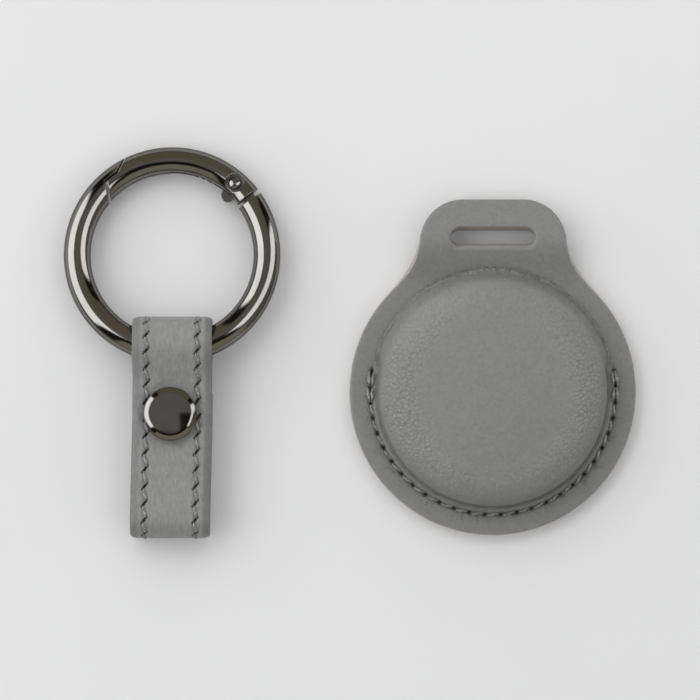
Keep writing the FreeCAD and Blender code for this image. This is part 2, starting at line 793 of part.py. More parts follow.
def make_ring_body():
    """The fixed part of the ring, with the tongue and lug that the gate turns on."""
    body = full_ring("ring_body")
    nose = nose_line(arc_angle(s.nose_gap), s.nose_gap, s.nose_swing_angle)
    middle_angle = (s.body_end_angle + s.nose_outer_angle) / 2
    opening = [(ZERO, ZERO), (far_radius, s.body_end_angle), (far_radius, middle_angle), *nose]
    cut(body, new_sketch(body, "XY", polar_outline(opening)))
    outer, inner = s.ring_mean_radius + s.tongue_half, s.ring_mean_radius - s.tongue_half
    root_angle = s.body_end_angle - arc_angle(s.overrun)
    tongue = Outline(*polar(outer, root_angle))
    tongue.arc(*polar(outer, s.pin_angle), (ZERO, ZERO), outer, 1)
    tongue.arc(*polar(inner, s.pin_angle), pin_place, s.tongue_half, 1)
    tongue.arc(*polar(inner, root_angle), (ZERO, ZERO), inner, -1).close()
    pad(body, new_sketch(body, "XY", tongue), s.tongue_thick, symmetric=True)
    reach_x, reach_y = polar(s.lug_reach, s.lug_angle)
    lug = stadium(*pin_place, pin_place[0] + reach_x, pin_place[1] + reach_y, s.tongue_half)
    pad(body, new_sketch(body, "XY", lug), s.tongue_thick, symmetric=True)
    cut(body, new_sketch(body, "XY", Disc(*pin_place, s.pin_radius)))
    return body


def make_gate():
    """The sprung gate, forked over the tongue, with a flat sunk for each rivet head."""
    body = full_ring("gate")
    beyond = [(far_radius, angle) for angle in (as_dim(150), as_dim(225), as_dim(300))]
    rest = [(ZERO, ZERO), *reversed(nose_line(ZERO, ZERO, ZERO)), *beyond, (far_radius, s.gate_tail_angle)]
    cut(body, new_sketch(body, "XY", polar_outline(rest)))
    outer = s.ring_mean_radius + s.tongue_half + s.fork_clearance
    inner = ring_inner - s.overrun
    start = s.gate_tail_angle - arc_angle(s.overrun)
    fork = Outline(*polar(outer, start))
    fork.arc(*polar(outer, s.fork_end_angle), (ZERO, ZERO), outer, 1)
    fork.line(*polar(inner, s.fork_end_angle))
    fork.arc(*polar(inner, start), (ZERO, ZERO), inner, -1).close()
    cut(body, new_sketch(body, "XY", fork), s.fork_slot, symmetric=True)
    cut(body, new_sketch(body, "XY", Disc(*pin_place, s.pin_radius + s.pin_clearance)))
    floor = s.tube_radius - s.spot_face_depth
    for level, up in ((floor, True), (-floor, False)):
        flat = new_sketch(body, "XY", Disc(*pin_place, s.spot_face_radius), lift=level)
        cut(body, flat, s.overrun, up=up)
    return body


def make_gate_pin():
    """The hinge rivet, with a domed head at each end."""
    ring_x, ring_y, ring_z, tilt = ring_place
    pin_y, pin_z = pin_place[1] * cosine(tilt), pin_place[1] * sine(tilt)
    body = new_body("gate_pin", ring_x + pin_place[0], ring_y + pin_y, ring_z + pin_z, tilt)
    seat = s.tube_radius - s.spot_face_depth + s.pin_clearance
    top = seat + s.rivet_dome
    ball = (s.rivet_radius * s.rivet_radius + s.rivet_dome * s.rivet_dome) / (2 * s.rivet_dome)
    section = Outline(ZERO, -top)
    section.arc(s.rivet_radius, -seat, (ZERO, ball - top), ball, 1)
    section.line(s.pin_radius, -seat).line(s.pin_radius, seat).line(s.rivet_radius, seat)
    section.arc(ZERO, top, (ZERO, top - ball), ball, 1).close()
    turn_on_axis(body, new_sketch(body, "XZ", section))
    return body


def arc_middle(start, tangent, stop):
    """The middle of the arc that leaves a point along a tangent and ends at another."""
    chord = stop - start
    along = FreeCAD.Vector(chord).normalize()
    angle = tangent.getAngle(chord)
    side = tangent - along * tangent.dot(along)
    return start + chord * 0.5 + side.normalize() * (chord.Length / 2 * math.tan(angle / 2))


def biarc(start, leaving, stop, arriving):
    """Two arcs that join two points with the given tangents and share a tangent between them."""
    chord, both = stop - start, leaving + arriving
    spread = 2 * (1 - leaving.dot(arriving))
    lean = chord.dot(both)
    reach = (math.sqrt(lean * lean + spread * chord.dot(chord)) - lean) / spread
    joint = (start + stop) * 0.5 + (leaving - arriving) * (reach / 2)
    back = arc_middle(stop, arriving * -1, joint)
    return [Part.Arc(start, arc_middle(start, leaving, joint), joint), Part.Arc(joint, back, stop)]


def make_gate_spring():
    """The coil that pushes the gate off the tongue's lug, along a straight line in the fork."""
    radius, turns, wire = s.coil_radius.value, round(s.coil_turns.value), s.coil_wire.value
    line = math.radians(s.coil_line_angle.value)
    lean = math.radians(s.pin_angle.value) - line
    spread = math.radians(s.fork_end_angle.value) - line
    foot = (s.ring_mean_radius - s.coil_line_offset).value
    lug_side = s.ring_mean_radius.value * math.sin(lean) + (s.tongue_half + s.fork_clearance).value
    fork_side = (foot - radius - wire / 2) * math.tan(spread) - s.coil_end_gap.value
    length = fork_side - lug_side - wire

    def point(turn):
        angle = 2 * math.pi * turn
        spot = FreeCAD.Vector(radius * math.cos(angle), radius * math.sin(angle), length * turn / turns)
        rise = length / turns / (2 * math.pi)
        heading = FreeCAD.Vector(-radius * math.sin(angle), radius * math.cos(angle), rise)
        return spot, heading.normalize()

    quarters = [point(k / 4) for k in range(4 * turns + 1)]
    arcs = [biarc(*quarters[k], *quarters[k + 1]) for k in range(4 * turns)]
    path = Part.Wire([arc.toShape() for pair in arcs for arc in pair])
    start, heading = quarters[0]
    section = Part.Wire([Part.Circle(start, heading, wire / 2).toShape()])
    coil = Part.Wire(path).makePipeShell([section], True, False)
    samples = [point(k / 24)[0] for k in range(24 * turns + 1)]
    apart = min(a.distanceToPoint(b) for k, a in enumerate(samples) for b in samples[k + 18 :])
    print(f"gate_spring least gap between turns {apart - wire:.2f} mm")

    spring = doc.addObject("Part::Feature", "gate_spring")
    spring.Label = "gate_spring"
    spring.Shape = coil
    near = lug_side + wire / 2
    across, along = (FreeCAD.Vector(math.cos(a), math.sin(a), 0) for a in (line, line + math.pi / 2))
    stand = FreeCAD.Rotation(FreeCAD.Vector(0, 0, 1), along)
    ring_x, ring_y, ring_z, tilt = (size.value for size in ring_place)
    ring = FreeCAD.Placement(
        FreeCAD.Vector(ring_x, ring_y, ring_z), FreeCAD.Rotation(FreeCAD.Vector(1, 0, 0), tilt)
    )
    spring.Placement = ring.multiply(FreeCAD.Placement(across * foot + along * near, stand))
    return spring


rim_top = (back_top + s.panel_thick).value
groove_floor = s.thread_slack.value
pouch_place = s.pouch_x, s.pouch_y
strap_place = s.strap_x, s.strap_y
nodes = [
    make_back_panel(),
    make_front_panel("front_panel_lower", False),
    make_front_panel("front_panel_flap", True),
    stitch_row("pouch_stitches_front", s.pouch_stitch, pouch_stitch_places(rim_top), *pouch_place),
    stitch_row("pouch_stitches_back", s.pouch_stitch, pouch_stitch_places(groove_floor), *pouch_place),
    *make_tag(),
    make_strap_ply("strap_face", ZERO, s.face_ply),
    make_strap_ply("strap_lining", s.face_ply, strip),
    make_fold_ply("fold_face", ZERO, s.face_ply),
    make_fold_ply("fold_lining", s.face_ply, strip),
    *make_tail(),
    stitch_row("strap_stitches", s.strap_stitch, front_stitch_places(), *strap_place),
    stitch_row("tail_stitches", s.strap_stitch, tail_stitch_places(), *strap_place),
    *make_snap(),
    make_ring_body(),
    make_gate(),
    make_gate_pin(),
    make_gate_spring(),
]
doc.recompute()

for item in doc.Objects:
    if {"Invalid", "Error"} & set(item.State):
        raise RuntimeError(f"{item.Label} failed: {item.State}")
for node in nodes:
    if node.Shape.isNull() or not node.Shape.isValid() or not node.Shape.Solids:
        raise RuntimeError(f"{node.Label} has no valid solid")

os.makedirs("parts", exist_ok=True)
for node in nodes:
    node.Shape.exportStep(f"parts/{node.Label}.step")
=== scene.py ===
import json
import math

import bmesh
import bpy
from mathutils import Matrix, Vector, kdtree, noise


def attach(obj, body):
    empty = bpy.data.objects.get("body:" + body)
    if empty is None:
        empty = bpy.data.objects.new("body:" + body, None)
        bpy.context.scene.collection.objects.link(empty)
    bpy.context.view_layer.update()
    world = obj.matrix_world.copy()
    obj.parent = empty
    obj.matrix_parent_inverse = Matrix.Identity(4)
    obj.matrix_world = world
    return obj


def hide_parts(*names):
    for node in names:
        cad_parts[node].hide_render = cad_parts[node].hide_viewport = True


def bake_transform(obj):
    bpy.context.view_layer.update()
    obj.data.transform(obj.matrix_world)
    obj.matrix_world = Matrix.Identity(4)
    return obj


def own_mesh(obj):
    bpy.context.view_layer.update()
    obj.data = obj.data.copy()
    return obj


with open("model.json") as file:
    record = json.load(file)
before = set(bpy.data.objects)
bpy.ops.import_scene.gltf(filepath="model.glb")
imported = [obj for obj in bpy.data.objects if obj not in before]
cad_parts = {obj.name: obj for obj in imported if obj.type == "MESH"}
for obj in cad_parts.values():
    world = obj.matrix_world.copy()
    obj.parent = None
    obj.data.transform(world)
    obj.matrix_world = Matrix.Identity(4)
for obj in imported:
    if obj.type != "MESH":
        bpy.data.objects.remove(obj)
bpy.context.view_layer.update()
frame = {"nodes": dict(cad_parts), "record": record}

mm = 0.001
up = Vector((0, 0, 1))
scene = bpy.context.scene
scene.view_settings.view_transform = "Standard"
print("frame loaded")


# Shader expressions: a wrapped socket whose operators add Math nodes.
class Wire:
    def __init__(self, tree, socket=None):
        self.tree = tree
        self.socket = socket

    def node(self, kind, settings=None, sockets=None, out=0):
        made = self.tree.nodes.new(kind)
        for name, value in (settings or {}).items():
            if name == "stops":
                ramp = made.color_ramp.elements
                while len(ramp) < len(value):
                    ramp.new(1)
                for stop, (position, colour) in zip(ramp, value):
                    stop.position = position
                    stop.color = colour
            else:
                setattr(made, name, value)
        for name, value in (sockets or {}).items():
            if isinstance(value, Wire):
                self.tree.links.new(value.socket, made.inputs[name])
            else:
                made.inputs[name].default_value = value
        return Wire(self.tree, made.outputs[out])

    def maths(self, operation, *values):
        return self.node("ShaderNodeMath", {"operation": operation}, dict(enumerate(values)))

    def __add__(self, other):
        return self.maths("ADD", self, other)

    def __sub__(self, other):
        return self.maths("SUBTRACT", self, other)

    def __rsub__(self, other):
        return self.maths("SUBTRACT", other, self)

    def __mul__(self, other):
        return self.maths("MULTIPLY", self, other)

    __radd__ = __add__
    __rmul__ = __mul__

    def ramp(self, low, high):  # 0 below low, 1 above high, smooth between
        ends = {"From Min": low, "From Max": high, "Value": self}
        return self.node("ShaderNodeMapRange", {"interpolation_type": "SMOOTHSTEP"}, ends)

    def mix(self, first, second):  # two colours, by this value
        sockets = {"Factor": self, 6: first, 7: second}
        return self.node("ShaderNodeMix", {"data_type": "RGBA"}, sockets, out=2)


def newMaterial(name):
    material = bpy.data.materials.new(name)
    material.use_nodes = True
    tree = material.node_tree
    shader = tree.nodes["Principled BSDF"]
    return material, Wire(tree), shader


def feed(wire, shader, **sockets):
    for name, value in sockets.items():
        socket = shader.inputs[name.replace("_", " ")]
        if isinstance(value, Wire):
            wire.tree.links.new(value.socket, socket)
        else:
            socket.default_value = value


def objectPoint(wire):
    return wire.node("ShaderNodeTexCoord", out=3)


def noiseAt(wire, point, scale, detail=2.0, roughness=0.5):
    sockets = {"Vector": point, "Scale": scale, "Detail": detail, "Roughness": roughness}
    return wire.node("ShaderNodeTexNoise", None, sockets)


def attribute(wire, name):
    return wire.node("ShaderNodeAttribute", {"attribute_name": name}, out=2)


# Leather: grey dyed, with fine pores. Each vertex says how much painted shade it takes (in creases, stitch
# holes and beds, puckers and on the strap's rounded edges), and how crackled, stretched or cut it is.
leatherMarks = ("crease", "crackle", "pebble", "cutEdge")
leatherLook = {
    "tone": (0.240, 0.240, 0.235, 1),
    "darkTone": (0.205, 0.205, 0.201, 1),
    "pebbleHighlightTone": (0.36, 0.36, 0.353, 1),
    "paintedShadeTone": (0.020, 0.0195, 0.0185, 1),
    "cutTone": (0.52, 0.45, 0.40, 1),
    "cutDark": (0.30, 0.25, 0.215, 1),
    "fibreScale": (2600, 2600, 5200),
    "poreScale": (1700, 1700, 1700),
    "cellScale": 1750,
    "mottleScale": 520,
    "roughness": 0.56,
}
strapLook = {  # drawn out along the strap
    **leatherLook,
    "tone": (0.299, 0.299, 0.293, 1),
    "darkTone": (0.232, 0.232, 0.227, 1),
    "poreScale": (2500, 900, 900),
}


def leatherMaterial(name, look):
    material, wire, shader = newMaterial(name)
    point = objectPoint(wire)
    mottle = noiseAt(wire, point, look["mottleScale"], 4.0, 0.6)
    drawn = wire.node("ShaderNodeMapping", None, {"Vector": point, "Scale": look["poreScale"]})
    pores = noiseAt(wire, drawn, 1.0, 3.0, 0.6)
    cellPlace = {"Vector": point, "Scale": look["cellScale"]}
    cells = wire.node("ShaderNodeTexVoronoi", {"feature": "SMOOTH_F1"}, {**cellPlace, "Smoothness": 0.3})
    lines = wire.node("ShaderNodeTexVoronoi", {"feature": "DISTANCE_TO_EDGE"}, cellPlace)
    crease, crackle, pebble, cut = (attribute(wire, mark) for mark in leatherMarks)
    grooved = pebble * 0.5 + crackle * pores.ramp(0.38, 0.56) * 1.25
    grooves = (1 - lines.ramp(0.0, 0.16)) * grooved
    face = (pores * 0.75 + mottle * 0.25).ramp(0.3, 0.7).mix(look["darkTone"], look["tone"])
    # painted highlight: the tops of the pebble cells are coloured paler
    face = ((1 - cells) * pebble * 0.5).mix(face, look["pebbleHighlightTone"])
    # the crackle and pebble grooves are real grooves in the bump, and their darker colour is painted shade
    face = (grooves * 0.26).mix(face, look["paintedShadeTone"])
    # painted shade: the face darkens towards near black by the vertex's shade mark
    face = crease.mix(face, look["paintedShadeTone"])
    frayed = wire.node("ShaderNodeMapping", None, {"Vector": point, "Scale": look["fibreScale"]})
    fibre = noiseAt(wire, frayed, 1.0, 4.0, 0.75)
    raw = (fibre * 0.7 + mottle * 0.3).ramp(0.34, 0.6).mix(look["cutDark"], look["cutTone"])
    colour = cut.mix(face, raw)
    rough = look["roughness"] + (pores - 0.5) * 0.16 + cut * 0.25 + crease * 0.15
    height = pores * 1.3 + (1 - cells) * pebble * 2.4 - grooves * 1.2 + fibre * cut * 1.5
    bump = wire.node("ShaderNodeBump", None, {"Strength": 0.7, "Distance": 0.00012, "Height": height})
    feed(wire, shader, Base_Color=colour, Roughness=rough, Normal=bump)
    feed(wire, shader, Sheen_Weight=0.08, Sheen_Roughness=0.5, Specular_IOR_Level=0.42)
    return material


# Lining: a plainer, matte split leather.
liningLook = {
    "tone": (0.225, 0.218, 0.206, 1),
    "darkTone": (0.17, 0.165, 0.158, 1),
    "napScale": 2600,
    "mottleScale": 420,
}


def liningMaterial(look):
    material, wire, shader = newMaterial("liningLeather")
    point = objectPoint(wire)
    nap = noiseAt(wire, point, look["napScale"], 4.0, 0.7)
    mottle = noiseAt(wire, point, look["mottleScale"], 3.0)
    colour = (nap * 0.6 + mottle * 0.4).ramp(0.3, 0.7).mix(look["darkTone"], look["tone"])
    bump = wire.node("ShaderNodeBump", None, {"Strength": 0.7, "Distance": 0.00008, "Height": nap})
    feed(wire, shader, Base_Color=colour, Roughness=0.85 - mottle * 0.1, Normal=bump)
    feed(wire, shader, Sheen_Weight=0.2, Sheen_Roughness=0.6, Specular_IOR_Level=0.25)
    return material


# Thread: waxed polyester in dark grey, with fine fibres along the twist.
threadLook = {
    "tone": (0.44, 0.436, 0.428, 1),
    "darkTone": (0.09, 0.089, 0.087, 1),
    "fibreScale": 4200,
}


def threadMaterial(look):
    material, wire, shader = newMaterial("waxedThread")
    point = objectPoint(wire)
    fibre = noiseAt(wire, point, look["fibreScale"], 3.0, 0.7)
    colour = fibre.ramp(0.3, 0.75).mix(look["darkTone"], look["tone"])
    bump = wire.node("ShaderNodeBump", None, {"Strength": 0.5, "Distance": 0.00004, "Height": fibre})
    feed(wire, shader, Base_Color=colour, Roughness=0.36 + fibre * 0.14, Normal=bump)
    feed(wire, shader, Coat_Weight=0.25, Coat_Roughness=0.25, Sheen_Weight=0.1)
    return material


# Gunmetal: polished dark plating with faint wipe marks, and painted shade deep in its gaps.
gunmetalLook = {
    "tone": (0.222, 0.215, 0.207, 1),
    "darkTone": (0.196, 0.19, 0.182, 1),
    "edgeTone": (0.42, 0.4, 0.37, 1),
    "gapShadeTone": (0.012, 0.0115, 0.011, 1),
    "gapShadeReach": 0.0006,
    "cloudScale": 160,
    "wipeScale": (900, 900, 140),
    "roughness": 0.05,
    "edgeRound": 0.00026,
}


def gunmetalMaterial(look):
    material, wire, shader = newMaterial("gunmetalPlating")
    point = objectPoint(wire)
    cloud = noiseAt(wire, point, look["cloudScale"], 3.0)
    turned = wire.node("ShaderNodeMapping", None, {"Vector": point, "Scale": look["wipeScale"]})
    wipe = noiseAt(wire, turned, 1.0, 4.0, 0.7)
    clear = wire.node("ShaderNodeAmbientOcclusion", {"samples": 8}, {"Distance": look["gapShadeReach"]}, out=1)
    clear = clear.ramp(0.4, 0.8)  # 0 deep in a gap: there the colour goes near black as painted shade, and the plating rough and dull
    colour = cloud.ramp(0.3, 0.75).mix(look["darkTone"], look["tone"])
    colour = clear.mix(look["gapShadeTone"], colour)
    rough = look["roughness"] + wipe.ramp(0.5, 0.8) * 0.035 + cloud * 0.025 + (1 - clear) * 0.6
    rounded = wire.node("ShaderNodeBevel", {"samples": 6}, {"Radius": look["edgeRound"]})
    feed(wire, shader, Base_Color=colour, Roughness=rough, Metallic=clear * 0.9 + 0.1, Normal=rounded)
    feed(wire, shader, Specular_Tint=look["edgeTone"])
    return material


# Plain steel: the gate's coil, the snap's wire, the cell and the cover.
steelLook = {
    "tone": (0.58, 0.57, 0.55, 1),
    "darkTone": (0.44, 0.43, 0.42, 1),
    "brushScale": (300, 4200, 4200),
}


def steelMaterial(look):
    material, wire, shader = newMaterial("plainSteel")
    brushed = {"Vector": objectPoint(wire), "Scale": look["brushScale"]}
    brush = noiseAt(wire, wire.node("ShaderNodeMapping", None, brushed), 1.0, 3.0, 0.6)
    colour = brush.ramp(0.3, 0.7).mix(look["darkTone"], look["tone"])
    feed(wire, shader, Base_Color=colour, Roughness=0.22 + brush * 0.12, Metallic=1.0)
    return material


# The tag's white moulded shell and its green board.
plasticLook = {"tone": (0.80, 0.80, 0.79, 1), "darkTone": (0.72, 0.72, 0.71, 1), "speckScale": 1800}
boardLook = {"tone": (0.030, 0.165, 0.085, 1), "darkTone": (0.012, 0.085, 0.045, 1), "trackScale": 700}


def plasticMaterial(look):
    material, wire, shader = newMaterial("whitePlastic")
    speck = noiseAt(wire, objectPoint(wire), look["speckScale"], 2.0)
    colour = speck.ramp(0.35, 0.65).mix(look["darkTone"], look["tone"])
    feed(wire, shader, Base_Color=colour, Roughness=0.22 + speck * 0.1, Coat_Weight=0.2)
    return material


def boardMaterial(look):
    material, wire, shader = newMaterial("greenBoard")
    sockets = {"Vector": objectPoint(wire), "Scale": look["trackScale"], "Randomness": 0.6}
    track = wire.node("ShaderNodeTexVoronoi", {"distance": "CHEBYCHEV"}, sockets)
    colour = track.ramp(0.3, 0.36).mix(look["tone"], look["darkTone"])
    feed(wire, shader, Base_Color=colour, Roughness=0.42 - track * 0.1)
    return material


leather = leatherMaterial("greyLeather", leatherLook)
strapLeather = leatherMaterial("strapLeather", strapLook)
lining = liningMaterial(liningLook)
thread = threadMaterial(threadLook)
gunmetal = gunmetalMaterial(gunmetalLook)
steel = steelMaterial(steelLook)
plastic = plasticMaterial(plasticLook)
board = boardMaterial(boardLook)
print("materials made")

# Every shape that stays as it was drawn gets its finish.
finishes = {
    "leather": leather,
    "lining": lining,
    "thread": thread,
    "gunmetal": gunmetal,
    "spring_steel": steel,
    "tag_plastic": plastic,
    "board": board,
}
for subpart in frame["record"]["subparts"]:
    node = frame["nodes"][subpart["node"]]
    node.data.materials.clear()
    node.data.materials.append(finishes[subpart["material_slot"]])

# Mesh helpers. Shapes are drawn in millimetres, and scaled when a piece is finished.
yAxis = Vector((0, 1, 0))


def vertsOf(geom):
    return [item for item in geom if isinstance(item, bmesh.types.BMVert)]


def edgesOf(geom):
    return [item for item in geom if isinstance(item, bmesh.types.BMEdge)]


def arcTo(bm, tip, centre, axis, degrees, steps):
    turn = math.radians(degrees)
    made = bmesh.ops.spin(bm, geom=[tip], cent=centre, axis=axis, angle=turn, steps=steps)
    return vertsOf(made["geom_last"])[0]


def lineTo(bm, tip, places):
    for place in places:
        tip = bmesh.ops.extrude_vert_indiv(bm, verts=[tip])["verts"][0]
        tip.co = place
    return tip


def nextRow(bm, edges):
    made = bmesh.ops.extrude_edge_only(bm, edges=edges)["geom"]
    verts = vertsOf(made)
    fresh = set(verts)
    return verts, [edge for edge in edgesOf(made) if fresh.issuperset(edge.verts)]


def capEnds(bm):
    rims = [edge for edge in bm.edges if len(edge.link_faces) == 1]
    bmesh.ops.holes_fill(bm, edges=rims, sides=0)
    bmesh.ops.recalc_face_normals(bm, faces=bm.faces[:])


def smooth(value, low, high):
    share = min(max((value - low) / (high - low), 0), 1)
    return share * share * (3 - 2 * share)


def bump(value, middle, width):
    return math.exp(-(((value - middle) / width) ** 2))


def strokes(x, y, seed, width):  # thin wandering lines, 1 on a line
    return max(0, 1 - abs(noise.noise(Vector((x, y, seed)))) / width)


def newShape():
    bm = bmesh.new()
    return bm, {mark: bm.verts.layers.float.new(mark) for mark in leatherMarks}


def finishPiece(name, bm, material, slot, *nodes):
    bmesh.ops.scale(bm, vec=(mm, mm, mm), verts=bm.verts[:])
    for face in bm.faces:
        face.smooth = True
    mesh = bpy.data.meshes.new(name)
    bm.to_mesh(mesh)
    bm.free()
    mesh.set_sharp_from_angle(angle=math.radians(52))
    mesh.materials.append(material)
    piece = bpy.data.objects.new(name, mesh)
    scene.collection.objects.link(piece)
    if nodes:
        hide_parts(*nodes)
    return piece


# The pouch: two panels of one outline, the front one moulded over the tag and drawn down along the seam.
pouch = {
    "centre": (21.9, -7.6, 0),
    "edgeRadius": 22.0,
    "thickness": 1.14,
    "domeTop": 10.75,
    "crownRadius": 81.45,
    "crownDegrees": 9.302,
    "shoulderCentre": (12.35, 0, 4.70),
    "wallStops": ((17.4, 0, 4.2), (17.4, 0, 3.7), (17.4, 0, 3.3)),
    "creaseCentre": (18.3, 0, 3.3),
    "profileSteps": (12, 16, 8),
    "rimTop": 2.4,
    "rimStops": (
        18.45, 18.6, 18.72, 18.84, 18.96, 19.1, 19.3, 19.6,
        20.0, 20.5, 21.0, 21.35, 21.6, 21.74, 21.85, 22.0,
    ),
    "backStops": (3, 6, 9, 11.5, 13.5, 15, 16, 16.8, 17.4, 17.9, 18.2),
    "seamRadius": 18.8,
    "seamStart": 170.2,
    "seamSweep": 199.6,
    "stitches": 27,
    "stepsPerStitch": 12,
    "mouth": -4.4,
    "flapBend": 13.5,
    "freeSteps": 62,
    "patchSteps": 136,
}
tab = {
    "patchRadius": 18.96,
    "neckRadius": 10.0,
    "neckSteps": 17,
    "neckEndSteps": 9,
    "cornerRadius": 6.6,
    "cornerCentre": (4.65, 23.0),
    "top": 29.6,
    "baseLine": 20.6,
    "slotHeight": 23.7,
    "slotCore": 4.95,
    "slotRadius": 1.6,
    # share of the raw edge colour the slot's walls keep; the rest is painted shade
    "slotShadedCut": 0.62,
    "rings": (
        0.015, 0.035, 0.06, 0.09, 0.14, 0.2, 0.3, 0.42, 0.54,
        0.66, 0.76, 0.84, 0.9, 0.94, 0.965, 0.985, 1,
    ),
    "cornerSteps": 34,
    "topSteps": 15,
    "arch": 2.6,
    "rise": (15.5, 25),
    "fall": (21.5, 30.5),
    "fallShare": 0.62,
    "domeFoot": (2.7, 5.2),
}
edgeRoll = {"width": 0.5, "drop": 0.26, "inset": 0.11}

# The neck's circle touches the pouch's round edge and the tab's corner.
cornerX, cornerY = tab["cornerCentre"]
toNeck = pouch["edgeRadius"] + tab["neckRadius"]
toCorner = math.hypot(cornerX, cornerY)
along = (toNeck**2 - (tab["cornerRadius"] + tab["neckRadius"]) ** 2 + toCorner**2) / (2 * toCorner)
aside = math.sqrt(toNeck**2 - along**2)
neckX = (along * cornerX + aside * cornerY) / toCorner
neckY = (along * cornerY - aside * cornerX) / toCorner
footTurn = math.degrees(math.atan2(neckY, neckX))
meetTurn = math.degrees(math.atan2(neckY - cornerY, neckX - cornerX))
baseTurn = math.degrees(math.asin((neckY - tab["baseLine"]) / tab["neckRadius"]))


def domeProfile(bm):
    crown, (crownSteps, shoulderSteps, creaseSteps) = pouch["crownDegrees"], pouch["profileSteps"]
    tip = bm.verts.new((0, 0, pouch["domeTop"]))
    crownCentre = (0, 0, pouch["domeTop"] - pouch["crownRadius"])
    tip = arcTo(bm, tip, crownCentre, yAxis, crown, crownSteps)
    tip = arcTo(bm, tip, pouch["shoulderCentre"], yAxis, 90 - crown, shoulderSteps)
    tip = lineTo(bm, tip, pouch["wallStops"])
    tip = arcTo(bm, tip, pouch["creaseCentre"], yAxis, -90, creaseSteps)
    lineTo(bm, tip, [(stop, 0, pouch["rimTop"]) for stop in pouch["rimStops"]])


def flatProfile(bm):
    lineTo(bm, bm.verts.new((0, 0, 0)), [(stop, 0, 0) for stop in pouch["backStops"] + pouch["rimStops"]])


def spinPanel(bm):  # from the tab's left foot round below to its right foot, then the tab's patch
    turn = Matrix.Rotation(math.radians(180 - footTurn), 3, "Z")
    bmesh.ops.rotate(bm, verts=bm.verts[:], matrix=turn)
    geom = bm.verts[:] + bm.edges[:]
    free = pouch["seamStart"] - 180 + footTurn
    sewnSteps = pouch["stitches"] * pouch["stepsPerStitch"]
    freeLeg = (free, pouch["freeSteps"])
    for degrees, steps in (freeLeg, (pouch["seamSweep"], sewnSteps), freeLeg):
        made = bmesh.ops.spin(bm, geom=geom, axis=up, angle=math.radians(degrees), steps=steps)
        geom = made["geom_last"]
    reach = tab["patchRadius"] + 0.01
    inside = [edge for edge in edgesOf(geom) if all(vert.co.xy.length < reach for vert in edge.verts)]
    geom = list({vert for edge in inside for vert in edge.verts}) + inside
    patch = math.radians(180 - 2 * footTurn)
    bmesh.ops.spin(bm, geom=geom, axis=up, angle=patch, steps=pouch["patchSteps"])
    bmesh.ops.remove_doubles(bm, verts=bm.verts[:], dist=0.001)


def growNeck(bm, height):  # rows of faces from the round part to the tab's base line
    reach = tab["patchRadius"]
    row = [edge for edge in bm.edges if len(edge.link_faces) == 1 and edge.verts[0].co.y > 0]
    row = [edge for edge in row if all(abs(vert.co.xy.length - reach) < 0.005 for vert in edge.verts)]
    start = sorted({vert for edge in row for vert in edge.verts}, key=lambda vert: vert.co.x)
    first, crest = start[0].co.copy(), max(vert.co.y for vert in start)
    shares = [(vert.co.x / -first.x, (vert.co.y - first.y) / (crest - first.y)) for vert in start]
    spoke = Vector((math.cos(math.radians(footTurn)), math.sin(math.radians(footTurn))))
    ends = [(stop * spoke.x, stop * spoke.y) for stop in pouch["rimStops"] if stop > reach]
    for step in range(1, tab["neckSteps"] + 1):
        turn = math.radians(180 + footTurn + (baseTurn - footTurn) * step / tab["neckSteps"])
        spoke = Vector((math.cos(turn), math.sin(turn))) * tab["neckRadius"]
        ends.append((neckX + spoke.x, neckY + spoke.y))
    for endX, endY in ends:
        verts, row = nextRow(bm, row)
        verts.sort(key=lambda vert: vert.co.x)
        crown = crest + (tab["baseLine"] - crest) * (endY - first.y) / (tab["baseLine"] - first.y)
        for vert, (across, rise) in zip(verts, shares):
            vert.co = (endX * across, endY + (crown - endY) * rise, height)


def slotPoint(point):
    core = Vector((min(max(point.x, -tab["slotCore"]), tab["slotCore"]), tab["slotHeight"], point.z))
    return core + (point - core).normalized() * tab["slotRadius"]


def growTab(bm, height):  # rings of faces from the tab's outline to the slot
    low = tab["baseLine"]
    rise = baseTurn - meetTurn
    tip = bm.verts.new((tab["neckRadius"] * math.cos(math.radians(baseTurn)) - neckX, low, height))
    tip = arcTo(bm, tip, (-neckX, neckY, height), up, rise, tab["neckEndSteps"])
    bend, steps, across = meetTurn - 90, tab["cornerSteps"], tab["topSteps"]
    tip = arcTo(bm, tip, (-cornerX, cornerY, height), up, bend, steps)
    topPlaces = [(cornerX * step / across, tab["top"], height) for step in range(1 - across, across + 1)]
    tip = lineTo(bm, tip, topPlaces)
    tip = arcTo(bm, tip, (cornerX, cornerY, height), up, bend, steps)
    arcTo(bm, tip, (neckX, neckY, height), up, rise, tab["neckEndSteps"])
    bmesh.ops.remove_doubles(bm, verts=bm.verts[:], dist=0.001)
    ring = [edge for edge in bm.edges if len(edge.link_faces) < 2]
    ring = [edge for edge in ring if all(vert.co.y > low - 0.001 for vert in edge.verts)]
    track = {vert: (vert.co.copy(), slotPoint(vert.co)) for edge in ring for vert in edge.verts}
    for share in tab["rings"]:
        verts, ring = nextRow(bm, ring)
        moved = {}
        for vert in verts:
            old = next(edge.other_vert(vert) for edge in vert.link_edges if edge.other_vert(vert) in track)
            moved[vert] = track[old]
            vert.co = track[old][0].lerp(track[old][1], share)
        track = moved
